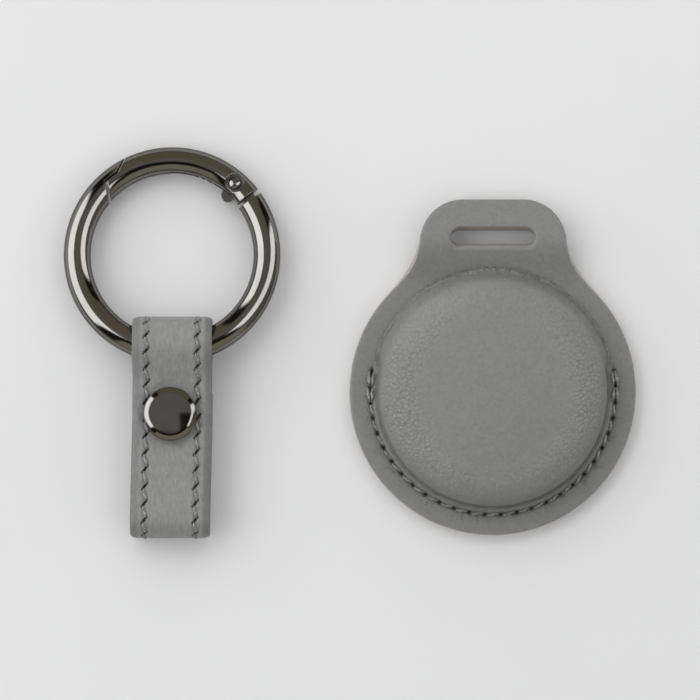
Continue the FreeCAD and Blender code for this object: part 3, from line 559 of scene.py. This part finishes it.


# How the leather gives along the seam and at the dome's foot, in millimetres and degrees round the pouch, and
# how much painted shade it takes there.
seam = {
    "starts": (166, 171),
    "stops": (369, 374),
    "bed": {"width": 0.28, "depth": 0.25, "dark": 0.5},
    "hole": {"width": 0.26, "length": 0.30, "depth": 0.30, "dark": 1.1},
    "pucker": {"from": (18.85, 19.15), "to": (19.3, 21.0), "depth": 0.07, "dark": 0.42},
    "ends": {"turns": (175, 365), "reach": 4.5, "width": 0.6, "dark": 0.4},
}
foot = {
    "from": 15.2,
    "pebbled": (10, 13.5, 16.6, 17.6),
    "crease": {"radius": 17.72, "width": 0.2, "depth": 0.12, "dark": 0.38},
    "ridge": {"radius": 18.16, "width": 0.22, "height": 0.09},
    "shade": {"radius": 17, "width": 0.75, "from": (180, 230), "turn": 290, "reach": 50, "dark": 0.26},
    "band": {"from": (16.9, 17.5), "to": (18.6, 19.7), "turn": 450, "reach": 50, "dark": 0.03},
    "wrinkle": {"width": 0.18, "depth": 0.035, "dark": 0.18},
    "dimple": {"depth": 0.035, "dark": 0.15},
    "side": {"radius": 17.75, "width": 0.3, "reach": 42, "depth": 0.06, "dark": 0.26},
    "sewnCrackle": {"radius": 19.4, "width": 0.7, "share": 0.45},
    "spread": {"from": (160, 171), "to": (369, 380), "rim": (17.6, 19.4), "top": 6.5, "run": 3.5, "out": 0.9},
}


def seamPlace(turn):  # 1 where it is sewn, the way along the seam, and how the leather wanders there
    sewn = smooth(turn, *seam["starts"]) * (1 - smooth(turn, *seam["stops"]))
    arc = math.radians(turn) * pouch["seamRadius"]
    return sewn, arc, noise.noise(Vector((arc * 0.55, 3, 1)))


def seamMarks(radius, turn):  # along the thread: how far the leather is drawn down and how dark it looks
    sewn, arc, wander = seamPlace(turn)
    bed, hole, pucker, ends = (seam[key] for key in ("bed", "hole", "pucker", "ends"))
    pitch = math.radians(pouch["seamSweep"] / pouch["stitches"]) * pouch["seamRadius"]
    place = (turn - pouch["seamStart"]) / pouch["seamSweep"] * pouch["stitches"]
    pierced = bump((place - round(place)) * pitch, 0.12 * wander, hole["length"])
    pierced *= bump(radius, pouch["seamRadius"], hole["width"])
    pierced *= 1 + 0.6 * noise.noise(Vector((round(place) * 1.9, 6, 2)))
    pressed = bump(radius, pouch["seamRadius"], bed["width"])
    drawn = smooth(radius, *pucker["from"]) * (1 - smooth(radius, *pucker["to"]))
    drawn *= strokes(arc * 1.05, radius * 0.4, 7.3, 0.16)
    drawn *= smooth(noise.noise(Vector((arc * 0.4, 2, 5))), -0.3, 0.3)
    knotted = sum(bump(turn, end, ends["reach"]) for end in ends["turns"])
    knotted *= bump(radius, pouch["seamRadius"], ends["width"])
    drop = bed["depth"] * pressed + hole["depth"] * pierced + pucker["depth"] * drawn
    # painted shade: darker in the holes, the thread's bed, the puckers and round the doubled ends
    dark = bed["dark"] * pressed + hole["dark"] * pierced + pucker["dark"] * drawn + ends["dark"] * knotted
    return sewn * drop, sewn * dark


# The darkness from here is painted shade: in the crease and its wrinkles and dimples, along the foot's sides,
# and on the lower foot.
def footMarks(radius, turn, height):  # at the dome's foot: the same, and how crackled it looks
    sewn, arc, wander = seamPlace(turn)
    crease, ridge, shade, band, side = (foot[key] for key in ("crease", "ridge", "shade", "band", "side"))
    wrinkle, dimple, crackle = (foot[key] for key in ("wrinkle", "dimple", "sewnCrackle"))
    folded = bump(radius, crease["radius"] + 0.14 * wander, crease["width"]) * (1 + 0.5 * wander)
    raised = bump(radius, ridge["radius"], ridge["width"]) * (0.8 - 0.7 * wander)
    # painted shade: the lower foot darker, most towards the lower right
    shaded = smooth(turn, *shade["from"]) * (0.5 + 0.5 * bump(turn, shade["turn"], shade["reach"]))
    shaded *= bump(radius, shade["radius"], shade["width"])
    drop = sewn * (crease["depth"] * folded - ridge["height"] * raised)
    dark = sewn * (crease["dark"] * folded + shade["dark"] * shaded)
    bent = (1 - sewn) * smooth(radius, *band["from"]) * (1 - smooth(radius, *band["to"]))
    bent *= 0.5 + 0.5 * bump(turn, band["turn"], band["reach"])
    down = radius - height  # along the leather, over the wall and the rim
    patch = smooth(noise.noise(Vector((arc * 0.8, down * 1.1, 8))), -0.15, 0.3)
    lined = strokes(arc * 2.1, down * 2.6, 1.3, wrinkle["width"]) * patch
    pitted = smooth(noise.noise(Vector((arc * 1.7, down * 1.8, 4.4))), 0.08, 0.4)
    aside = (1 - sewn) * (1 - bump(turn, band["turn"], side["reach"]))
    aside *= bump(radius, side["radius"] + 0.2 * wander, side["width"])
    aside *= 0.5 + 0.4 * patch + 0.6 * pitted
    drop += bent * (wrinkle["depth"] * lined + dimple["depth"] * pitted) + side["depth"] * aside
    dark += bent * (wrinkle["dark"] * lined + dimple["dark"] * pitted + band["dark"])
    dark += aside * (side["dark"] + 0.3 * wander)
    crackled = sewn * crackle["share"] * bump(radius, crackle["radius"], crackle["width"])
    return drop, dark, max(bent, crackled)


def footSpread(radius, turn, height):  # where no seam holds it, the dome's foot runs out in a softer slope
    look = foot["spread"]
    free = 1 - smooth(turn, *look["from"]) * (1 - smooth(turn, *look["to"]))
    low = smooth(look["top"] - height, 0, look["run"])
    return free * look["out"] * low * (1 - smooth(radius, *look["rim"]))


def archAt(y):
    return tab["arch"] * smooth(y, *tab["rise"]) * (1 - tab["fallShare"] * smooth(y, *tab["fall"]))


def tabLift(y):  # the tab arches up off the table: its height and slope there
    low, high = archAt(y - 0.5), archAt(y + 0.5)
    return (low + high) / 2, high - low


def makePanel(name, profile, outward, height, node):
    bm, layers = newShape()
    profile(bm)
    spinPanel(bm)
    growNeck(bm, height)
    growTab(bm, height)
    bmesh.ops.recalc_face_normals(bm, faces=bm.faces[:])
    if sum(face.normal.z for face in bm.faces) * outward < 0:
        bmesh.ops.reverse_faces(bm, faces=bm.faces[:])
    outer = bm.verts[:]
    rim = [vert for vert in outer if vert.is_boundary]
    rimTree = kdtree.KDTree(len(rim))
    for index, vert in enumerate(rim):
        rimTree.insert(vert.co, index)
    rimTree.balance()
    inward = []
    for vert in rim:
        middle = sum((face.calc_center_median() for face in vert.link_faces), Vector())
        middle /= len(vert.link_faces)
        inward.append((middle - vert.co).normalized() * edgeRoll["inset"])
    bmesh.ops.solidify(bm, geom=bm.faces[:], thickness=pouch["thickness"])
    face = set(outer)
    for vert in rim:  # raw edges; in the slot they keep less of the raw colour, painted darker as shade
        inSlot = (vert.co - slotPoint(vert.co)).length < 0.2
        for spot in (vert, *(edge.other_vert(vert) for edge in vert.link_edges)):
            if spot is vert or spot not in face:
                spot[layers["cutEdge"]] = tab["slotShadedCut"] if inSlot else 1
    for vert in outer:
        radius = vert.co.xy.length
        turn = math.degrees(math.atan2(vert.co.y, vert.co.x)) % 360
        turn += 360 if turn < 180 - footTurn else 0
        drop = 0.03 + 0.03 * noise.noise(vert.co * 0.16)
        if radius > foot["from"]:
            press, dark = seamMarks(radius, turn)
            if outward > 0:
                sink, shade, vert[layers["crackle"]] = footMarks(radius, turn, vert.co.z)
                press, dark = press + sink, dark + shade
                vert.co.xy *= 1 + footSpread(radius, turn, vert.co.z) / radius
            # painted shade, kept per vertex
            vert[layers["crease"]] = min(max(dark, 0), 1)
            drop += press
        gap = rimTree.find(vert.co)[2]
        if gap < edgeRoll["width"]:
            drop += edgeRoll["drop"] * (1 - math.sqrt(1 - (1 - gap / edgeRoll["width"]) ** 2))
        side = abs(math.cos(math.radians(turn)))
        stretched = smooth(radius, *foot["pebbled"][:2]) * (1 - smooth(radius, *foot["pebbled"][2:]))
        vert[layers["pebble"]] = stretched * (0.3 + 0.7 * side * side)
        vert.co.z -= outward * drop
    for vert, shift in zip(rim, inward):
        vert.co += shift
    for vert in bm.verts:
        lift, slope = tabLift(vert.co.y)
        lying = 1 - smooth(vert.co.z, *tab["domeFoot"])  # the dome stays as it is
        vert.co += Vector((0, (pouch["rimTop"] - vert.co.z) * slope, lift)) * lying
    bmesh.ops.translate(bm, vec=pouch["centre"], verts=bm.verts[:])
    return finishPiece(name, bm, leather, "leather", *node)


front = makePanel("pouchFront", domeProfile, 1, pouch["rimTop"], ("front_panel_lower", "front_panel_flap"))
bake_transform(front)
back = makePanel("pouchBack", flatProfile, -1, 0, ("back_panel",))
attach(back, "pouch")
print("pouch panels made")

# Thread: one stitch of twisted thread, dipping into the leather at both ends, set along each seam.
stitchForm = {
    "sides": 8,
    "stations": 10,
    "width": 0.43,
    "broad": 1.15,
    "flat": 0.85,
    "taper": 0.5,
    "twist": 300,
    "dip": 0.42,
}


def makeStitch(bm, length):
    bmesh.ops.create_circle(bm, segments=stitchForm["sides"], radius=stitchForm["width"] / 2)
    verts, ring = bm.verts[:], bm.edges[:]
    bmesh.ops.rotate(bm, verts=verts, matrix=Matrix.Rotation(math.radians(90), 3, "X"))
    bmesh.ops.scale(bm, verts=verts, vec=(stitchForm["broad"], 1, stitchForm["flat"]))
    place, size = Vector(), 1
    for station in range(stitchForm["stations"] + 1):
        share = station / stitchForm["stations"] * 2 - 1
        dip = abs(share) ** 3
        spot = Vector((0, share * length / 2, -stitchForm["dip"] * dip))
        girth = 1 - stitchForm["taper"] * dip
        if station:
            verts, ring = nextRow(bm, ring)
        bmesh.ops.translate(bm, verts=verts, vec=spot - place)
        twist = Matrix.Rotation(math.radians(stitchForm["twist"] / stitchForm["stations"]), 3, "Y")
        bmesh.ops.rotate(bm, verts=verts, cent=spot, matrix=twist)
        bmesh.ops.scale(bm, verts=verts, vec=(girth / size,) * 3, space=Matrix.Translation(-spot))
        place, size = spot, girth
    capEnds(bm)
    return bm.verts[:] + bm.edges[:] + bm.faces[:]


def setStitches(length, places):  # places: turns and shifts, one for each stitch
    bm = bmesh.new()
    stitch = makeStitch(bm, length)
    for matrix in places:
        copy = bmesh.ops.duplicate(bm, geom=stitch)["geom"]
        bmesh.ops.transform(bm, matrix=matrix, verts=vertsOf(copy))
    bmesh.ops.delete(bm, geom=vertsOf(stitch), context="VERTS")
    return bm


pouchThread = {
    "length": 2.05,
    "slant": 12,
    "frontLift": 2.27,
    "backLift": 0.27,
    "doubled": (0, 1, 25, 26),
    "apart": 0.3,
    "proud": 0.27,
    "thicker": 1.22,
}


def pouchPlaces(lift, flip):
    places, centre = [], Matrix.Translation(pouch["centre"])
    for index in range(pouch["stitches"]):
        turn = math.radians(pouch["seamStart"] + (index + 0.5) * pouch["seamSweep"] / pouch["stitches"])
        lay = pouchThread["slant"] + 3 * noise.noise(Vector((index * 1.7, 0, 0)))
        strands = ((0.09 * noise.noise(Vector((index * 2.3, 4, 0))), lay),)
        proud, girth = 0.14 * noise.noise(Vector((index * 1.9, 0, 6))), 1
        if index in pouchThread["doubled"]:
            strands = ((pouchThread["apart"], lay - 4), (-pouchThread["apart"], lay - 16))
            proud, girth = pouchThread["proud"], pouchThread["thicker"]
        for shift, slant in strands:
            spot = Matrix.Translation((pouch["seamRadius"] + shift, 0, lift + (0 if flip else proud)))
            spin = Matrix.Rotation(math.radians(slant), 4, "Z") @ Matrix.Rotation(flip, 4, "Y")
            spin @= Matrix.Scale(girth, 4)
            places.append(centre @ Matrix.Rotation(turn, 4, "Z") @ spot @ spin)
    return places


for name, lift, flip, node in (
    ("pouchThreadFront", pouchThread["frontLift"], 0, "pouch_stitches_front"),
    ("pouchThreadBack", pouchThread["backLift"], math.pi, "pouch_stitches_back"),
):
    row = setStitches(pouchThread["length"], pouchPlaces(lift, flip))
    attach(finishPiece(name, row, thread, "thread", node), "pouch")
print("pouch seams sewn")

# The strap: drawn flat, its edges turned in over the lining, then laid along tail, fold and loop.
strap = {
    "middle": -27.5,
    "half": 6.1,
    "columns": (
        0.7, 1.4, 2.1, 2.7, 3.1, 3.3, 3.42, 3.54, 3.66,
        3.78, 3.9, 4.02, 4.14, 4.26, 4.38, 4.5, 4.55,
    ),
    "edgeCentre": (4.55, 0, -1.6),
    "edgeDegrees": 75,
    "edgeFlat": 0.65,
    "edgeShade": 0.3,
    "edgeSquare": 0.42,
    "lean": (0.3, -0.1),
    "leanRun": (8, 30),
    "hem": (
        (6.1, -0.98), (6.08, -1.16), (6.0, -1.28), (5.6, -1.28),
        (5.3, -1.28), (5.3, -0.72), (2.6, -0.72), (0, -0.72),
    ),
    "liningTop": -0.74,
    "liningHalf": 5.24,
    "liningDepth": -1.27,
    "row": 3.9,
    "pitch": 2.62,
    "firstStitch": 2.9,
    "lastStitch": 85.5,
    "stitchLength": 2.1,
    "tailLift": -0.24,
    "slant": 16,
    "start": (-6.3, 0.0),
    "heading": 180,
    "tailCorner": 2.0,
    "seam": 32.0,
    "cap": 46.7285,
    "foldLine": -26.6,
    "blendFrom": 1.4,
    "blendTo": 5.4,
    "capClear": 0.9,
}
# Each leg of the way: a run's length and no turn, or a bend's radius and turn in degrees.
strapWay = (
    (20.3, 0),
    (3.415, -180),
    (20.5338, 0),
    (3.0, 21.3738),
    (3.3449, 0),
    (4.2747, -255.0392),
    (2.3574, 0),
    (1.2, 53.6654),
    (9.793, 0),
)
strapStops = {"tail": 0.3, "fold": 0.2, "front": 0.15, "loop": 0.2, "end": 0.4}

strapLegs = []
reach, heading = 0, math.radians(strap["heading"])
spotY, spotZ = strap["start"]
for size, degrees in strapWay:
    turn = math.radians(degrees)
    length = size * abs(turn) if degrees else size
    curve = turn / length
    strapLegs.append((reach, spotY, spotZ, heading, curve))
    if degrees:
        spotY += (math.sin(heading + turn) - math.sin(heading)) / curve
        spotZ -= (math.cos(heading + turn) - math.cos(heading)) / curve
    else:
        spotY += length * math.cos(heading)
        spotZ += length * math.sin(heading)
    heading += turn
    reach += length
strapLength = reach


def strapPoint(flat):  # across, along the way, and out from the face
    passed = (leg for leg in reversed(strapLegs) if flat.y >= leg[0])
    start, y, z, heading, curve = next(passed, strapLegs[0])
    gone = flat.y - start
    turned = heading + curve * gone
    if curve:
        y += (math.sin(turned) - math.sin(heading)) / curve
        z -= (math.cos(turned) - math.cos(heading)) / curve
    else:
        y += gone * math.cos(heading)
        z += gone * math.sin(heading)
    y -= math.sin(turned) * flat.z
    high, low = strap["lean"]
    lean = high + (low - high) * smooth(-y, *strap["leanRun"])
    lean += 0.05 * noise.noise(Vector((y * 0.25, 2, 7)))
    return Vector((strap["middle"] + flat.x + lean, y, z + math.cos(turned) * flat.z))


def spread(low, high, step):
    count = max(1, round((high - low) / step))
    return [low + (high - low) * index / count for index in range(1, count + 1)]


foldStart, frontStart, loopStart, endStart = (strapLegs[index][0] for index in (1, 2, 5, 6))
foldStops = [0, *spread(0, foldStart, strapStops["tail"])]
foldStops += spread(foldStart, strap["seam"], strapStops["fold"])
frontStops = [strap["seam"], *spread(strap["seam"], loopStart, strapStops["front"])]
frontStops += spread(loopStart, endStart, strapStops["loop"])
frontStops += spread(endStart, strapLength, strapStops["end"])


def sweepSection(bm, stops):
    bmesh.ops.mirror(bm, geom=bm.verts[:] + bm.edges[:], merge_dist=0.001, axis="X")
    bmesh.ops.translate(bm, vec=(0, stops[0], 0), verts=bm.verts[:])
    row = bm.edges[:]
    for before, after in zip(stops, stops[1:]):
        verts, row = nextRow(bm, row)
        bmesh.ops.translate(bm, vec=(0, after - before, 0), verts=verts)
    capEnds(bm)


# How the strap's face gives at its stitches and round the cap, and how much painted shade it takes there.
rowLook = {
    "slit": {"run": (0.80, 0.60), "width": 0.14, "ends": (0.58, 0.9), "depth": 0.46, "dark": 1.6},
    "bed": {"width": 0.38, "depth": 0.08, "dark": 0.26},
    "pull": {"radius": 4.3, "width": 0.9, "depth": 0.14, "dark": 0.14},
    "crimp": {"radius": 4.9, "width": 0.7, "depth": 0.03, "dark": 0.2},
    "margin": (1.2, 1.8),
}


def rowMarks(x, along):  # slits where the thread goes through, beds where it lies, and the pull of the cap
    slit, bed, pull, crimp = (rowLook[key] for key in ("slit", "bed", "pull", "crimp"))
    off = x - math.copysign(strap["row"], x)
    place = (along - strap["firstStitch"]) / strap["pitch"]
    gone = (place - math.floor(place) - 0.5) * strap["pitch"]
    across, ahead = slit["run"]
    pierced = bump(off * across - gone * ahead, 0, slit["width"])
    pierced *= 1 - smooth(abs(off * ahead + gone * across), *slit["ends"])
    pressed = bump(off, 0, bed["width"])
    near, far = rowLook["margin"]
    sewn = smooth(along, near, far) * (1 - smooth(along, strapLength - far, strapLength - near))
    toCap = math.hypot(x, along - strap["cap"])
    pulled = bump(toCap, pull["radius"], pull["width"])
    lined = strokes(math.atan2(along - strap["cap"], x) * 5, toCap * 0.5, 2.2, 0.16)
    lined *= bump(toCap, crimp["radius"], crimp["width"])
    drop = sewn * (bed["depth"] * pressed + slit["depth"] * pierced)
    drop += pull["depth"] * pulled + crimp["depth"] * lined
    # painted shade: darker in the slits, the thread's beds, the pull round the cap and its crimps
    dark = sewn * (bed["dark"] * pressed + slit["dark"] * pierced)
    dark += pull["dark"] * pulled + crimp["dark"] * lined
    waves = 0.02 + 0.02 * noise.noise(Vector((x * 0.22, along * 0.12, 9)))
    return drop + waves, min(dark, 1)


def within(along, start, stop):  # 1 between two places on the way, with a soft start and stop
    return smooth(along, start - 2, start + 2) * (1 - smooth(along, stop - 2, stop + 2))


def roundBend(along):  # 1 where the strap goes round the fold or the loop
    return within(along, foldStart, frontStart) + within(along, loopStart, endStart)


def layStrap(bm):  # round the tail's corners, then lay the flat shape along its way
    corner = strap["tailCorner"]
    for vert in bm.verts:
        if vert.co.y < corner:
            vert.co.x *= 1 - (corner - math.sqrt(corner**2 - (corner - vert.co.y) ** 2)) / strap["half"]
        vert.co = strapPoint(vert.co)


def makeStrapFace(name, stops, *nodes):
    bm, layers = newShape()
    tip = lineTo(bm, bm.verts.new((0, 0, 0)), [(x, 0, 0) for x in strap["columns"]])
    tip = arcTo(bm, tip, strap["edgeCentre"], yAxis, strap["edgeDegrees"], 8)
    bmesh.ops.scale(bm, vec=(1, 1, strap["edgeFlat"]), verts=[vert for vert in bm.verts if vert.co.z < 0])
    lineTo(bm, tip, [(x, 0, z) for x, z in strap["hem"]])
    sweepSection(bm, stops)
    for vert in bm.verts:
        if vert.co.z > -0.02:
            drop, vert[layers["crease"]] = rowMarks(vert.co.x, vert.co.y)
            vert.co.z -= drop
        elif vert.co.z > strap["hem"][2][1] + 0.01:
            # painted shade on the strap's rounded edges
            vert[layers["crease"]] = strap["edgeShade"] * smooth(abs(vert.co.x), 4.6, 5.3)
            if abs(vert.co.x) > strap["columns"][-1] and vert.co.z > strap["hem"][0][1] + 0.01:
                vert.co.z *= 1 - strap["edgeSquare"] * roundBend(vert.co.y)
    layStrap(bm)
    return finishPiece(name, bm, strapLeather, "leather", *nodes)


def makeStrapLining(name, stops, *nodes):
    bm = bmesh.new()
    half, top, low = strap["liningHalf"], strap["liningTop"], strap["liningDepth"]
    corners = [(half, 0, top), (half, 0, low), (half / 2, 0, low), (0, 0, low)]
    lineTo(bm, bm.verts.new((0, 0, top)), corners)
    sweepSection(bm, stops)
    layStrap(bm)
    return finishPiece(name, bm, lining, "lining", *nodes)


def makeStrapThread(name, low, high, *nodes):
    places = []
    count = math.floor((strap["lastStitch"] - strap["firstStitch"]) / strap["pitch"])
    for index in range(count + 1):
        along = strap["firstStitch"] + index * strap["pitch"]
        if not low <= along < high or abs(along - strap["cap"]) < strap["capClear"]:
            continue
        flat = smooth(along, foldStart, foldStart + 4)
        flat *= 1 - smooth(along, endStart - 8, endStart - 5.5)
        lift = strap["tailLift"] * (1 - flat)
        for side in (-1, 1):
            slant = strap["slant"] + 4 * noise.noise(Vector((index * 1.3, side, 0)))
            spot = Matrix.Translation((side * strap["row"], along, lift))
            places.append(spot @ Matrix.Rotation(math.radians(slant), 4, "Z"))
    bm = setStitches(strap["stitchLength"], places)
    for vert in bm.verts:
        vert.co = strapPoint(vert.co)
    return finishPiece(name, bm, thread, "thread", *nodes)


foldPieces = (
    makeStrapFace("strapTailFace", foldStops, "tail_face", "fold_face"),
    makeStrapLining("strapTailLining", foldStops, "tail_lining", "fold_lining"),
    makeStrapThread("strapTailThread", 0, strap["seam"] - 1, "tail_stitches"),
)
foldSpot = Vector((strap["middle"], strap["foldLine"], 0))
low, high = ((foldSpot + up * strap[key]) * mm for key in ("blendFrom", "blendTo"))
for piece in foldPieces:
    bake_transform(piece)
frontPieces = (
    makeStrapFace("strapFrontFace", frontStops, "strap_face"),
    makeStrapLining("strapFrontLining", frontStops, "strap_lining"),
    makeStrapThread("strapFrontThread", strap["seam"] - 1, strapLength, "strap_stitches"),
)
for piece in frontPieces:
    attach(piece, "strap")
print("strap laid and sewn")

# The snap's cap: a turned, polished button with a bevelled rim.
cap = {
    "centre": (-27.5, -10.9, 0),
    "top": 8.33,
    "profile": (
        (0.6, 8.327), (1.2, 8.317), (2.2, 8.285), (3.0, 8.245), (3.32, 8.225), (3.41, 8.195),
        (3.49, 8.14), (3.95, 7.81), (4.04, 7.72), (4.09, 7.6), (4.1, 7.46), (4.1, 7.1),
        (4.06, 6.92), (3.92, 6.8), (3.6, 6.76), (2.0, 6.76), (0, 6.76),
    ),
    "steps": 112,
}
bm = bmesh.new()
capTop = bm.verts.new((0, 0, cap["top"]))
lineTo(bm, capTop, [(radius, 0, height) for radius, height in cap["profile"]])
section = bm.verts[:] + bm.edges[:]
bmesh.ops.spin(bm, geom=section, axis=up, angle=math.tau, steps=cap["steps"], use_merge=True)
bmesh.ops.remove_doubles(bm, verts=bm.verts[:], dist=0.001)
bmesh.ops.recalc_face_normals(bm, faces=bm.faces[:])
bmesh.ops.translate(bm, vec=cap["centre"], verts=bm.verts[:])
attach(finishPiece("snapButton", bm, gunmetal, "gunmetal", "snap_cap"), "strap")
print("snap cap turned")

# The gate's coil: a copy of the drawn coil, set on the gate with a mesh of its own.
coil = {"heading": 155.6, "tilt": -4.51, "keep": 0.76}
bm = bmesh.new()
bm.from_mesh(frame["nodes"]["gate_spring"].data)
bmesh.ops.remove_doubles(bm, verts=bm.verts[:], dist=1e-6)
coilTurn = math.radians(coil["heading"])
coilLine = Vector((math.cos(coilTurn), math.sin(coilTurn), 0))
coilLine.rotate(Matrix.Rotation(math.radians(coil["tilt"]), 3, "X"))
bmesh.ops.scale(bm, vec=(1 / mm, 1 / mm, 1 / mm), verts=bm.verts[:])
gateCoil = finishPiece("gateCoil", bm, steel, "spring_steel", "gate_spring")
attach(gateCoil, "gate")
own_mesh(gateCoil)
print("gate coil set")

# Studio: a pale table and soft light on the leather from the left, the back and a little from the right.
studio = {
    "tableSize": 3.0,
    "tableTone": (0.865, 0.865, 0.865, 1),
    "veinTone": (0.845, 0.845, 0.845, 1),
    "fillTone": (0.445, 0.447, 0.45, 1),
    "backdropTone": (0.72, 0.72, 0.72, 1),
    "boxDistance": 1.0,
    "boxSize": (1.25, 1.11),
    "boxZenith": 53,
}
lights = {"keyLeft": (163, 5.25), "keyBack": (95, 4.15), "fillRight": (-14, 1.4)}  # azimuth and power
# What the metal mirrors: a brown room with a framed softbox at each side. Angles are in degrees.
mirrorRoom = {
    "zenithTone": (0.355, 0.342, 0.303, 1),
    "wallTone": (0.325, 0.279, 0.193, 1),
    "frontTone": (0.55, 0.49, 0.375, 1),
    "darkTone": (0.03, 0.028, 0.025, 1),
    "zenith": (5, 30),
    "front": (-40, 50),
    "frontLit": (36, 92),
    "frontDark": (8, 33),
    "overheadX": (0.03, 0.3),
    "overheadY": (-0.3, -0.004),
    "boxFrom": (11, 16),
    "horizon": (0.05, 0.13),
    "frame": 16,
    "boxes": (
        {"tone": (3.4, 3.4, 3.4, 1), "facing": -1, "round": (-41, 36), "down": (23, 84), "lean": 0.3},
        {"tone": (2.95, 2.93, 2.92, 1), "facing": 1, "round": (-38, 24), "down": (23, 71), "lean": -0.75},
    ),
}
cameraView = {"centre": (-0.02, -1.16), "distance": 0.9, "frameWidth": 107.36, "focusHeight": 3.0}


def softbox(name, azimuth, power):
    light = bpy.data.lights.new(name, "AREA")
    light.shape = "RECTANGLE"
    light.size, light.size_y = studio["boxSize"]
    light.energy = power
    lamp = bpy.data.objects.new(name, light)
    scene.collection.objects.link(lamp)
    lean, turn = math.radians(studio["boxZenith"]), math.radians(azimuth)
    towards = Vector((math.sin(lean) * math.cos(turn), math.sin(lean) * math.sin(turn), math.cos(lean)))
    lamp.location = towards * studio["boxDistance"]
    lamp.rotation_euler = towards.to_track_quat("Z", "Y").to_euler()
    lamp.visible_camera = False
    lamp.visible_glossy = False


for name, settings in lights.items():
    softbox(name, *settings)

world = bpy.data.worlds.new("room")
world.use_nodes = True
world.cycles.sampling_method = "NONE"  # so the softboxes that the metal mirrors stay off the leather
scene.world = world
room = Wire(world.node_tree)
skyward = room.node("ShaderNodeTexCoord")
skyX, skyY, skyZ = (
    room.node("ShaderNodeSeparateXYZ", None, {"Vector": skyward}, out=axis) for axis in range(3)
)
degree = 180 / math.pi


def between(value, low, high, soft):
    return value.ramp(low - soft, low + soft) * (1 - value.ramp(high - soft, high + soft))


down = skyZ.maths("ARCCOSINE", skyZ) * degree
mirrored = down.ramp(*mirrorRoom["zenith"]).mix(mirrorRoom["zenithTone"], mirrorRoom["wallTone"])
ahead = between(room.maths("ARCTAN2", skyX, 0 - skyY) * degree, *mirrorRoom["front"], 6)
mirrored = (ahead * between(down, *mirrorRoom["frontLit"], 3)).mix(mirrored, mirrorRoom["frontTone"])
mirrored = (ahead * between(down, *mirrorRoom["frontDark"], 3)).mix(mirrored, mirrorRoom["darkTone"])
overhead = between(skyX, *mirrorRoom["overheadX"], 0.004) * between(skyY, *mirrorRoom["overheadY"], 0.004)
mirrored = overhead.mix(mirrored, mirrorRoom["darkTone"])
for box in mirrorRoom["boxes"]:
    angle = room.maths("ARCTAN2", skyY * box["facing"], skyX * box["facing"]) * degree
    level = down + angle * box["lean"]
    (left, right), (top, low), rim = box["round"], box["down"], mirrorRoom["frame"]
    framed = between(angle, left - rim, right + rim, 2) * between(level, top - 6, low + 8, 2)
    mirrored = (framed * down.ramp(*mirrorRoom["boxFrom"])).mix(mirrored, mirrorRoom["darkTone"])
    lit = between(angle, left, right, 3) * between(level, top, low, 5)
    mirrored = (lit * down.ramp(*mirrorRoom["boxFrom"])).mix(mirrored, box["tone"])
mirrored = (1 - skyZ.ramp(*mirrorRoom["horizon"])).mix(mirrored, mirrorRoom["darkTone"])
paths = ("Is Camera Ray", "Is Diffuse Ray", "Diffuse Depth")
seen, scattered, depth = (room.node("ShaderNodeLightPath", out=path) for path in paths)
tone = scattered.mix(depth.ramp(0, 1).mix(mirrored, mirrorRoom["darkTone"]), studio["fillTone"])
tone = seen.mix(tone, studio["backdropTone"])
world.node_tree.links.new(tone.socket, world.node_tree.nodes["Background"].inputs["Color"])

bm = bmesh.new()
bmesh.ops.create_grid(bm, x_segments=1, y_segments=1, size=studio["tableSize"] / 2)
tableMesh = bpy.data.meshes.new("table")
bm.to_mesh(tableMesh)
bm.free()
table = bpy.data.objects.new("table", tableMesh)
scene.collection.objects.link(table)
tablePaint, tableWire, tableShader = newMaterial("paleTable")
cloud = noiseAt(tableWire, objectPoint(tableWire), 14, 3.0)
tableTone = cloud.ramp(0.3, 0.7).mix(studio["veinTone"], studio["tableTone"])
feed(tableWire, tableShader, Base_Color=tableTone, Roughness=0.6, Specular_IOR_Level=0.2)
tableMesh.materials.append(tablePaint)

camera = bpy.data.cameras.new("camera")
camera.sensor_width = 36
focus = cameraView["distance"] / mm - cameraView["focusHeight"]
camera.lens = camera.sensor_width * focus / cameraView["frameWidth"]
camera.clip_end = 10
viewer = bpy.data.objects.new("camera", camera)
viewer.location = (cameraView["centre"][0] * mm, cameraView["centre"][1] * mm, cameraView["distance"])
scene.collection.objects.link(viewer)
scene.camera = viewer
print("studio ready")
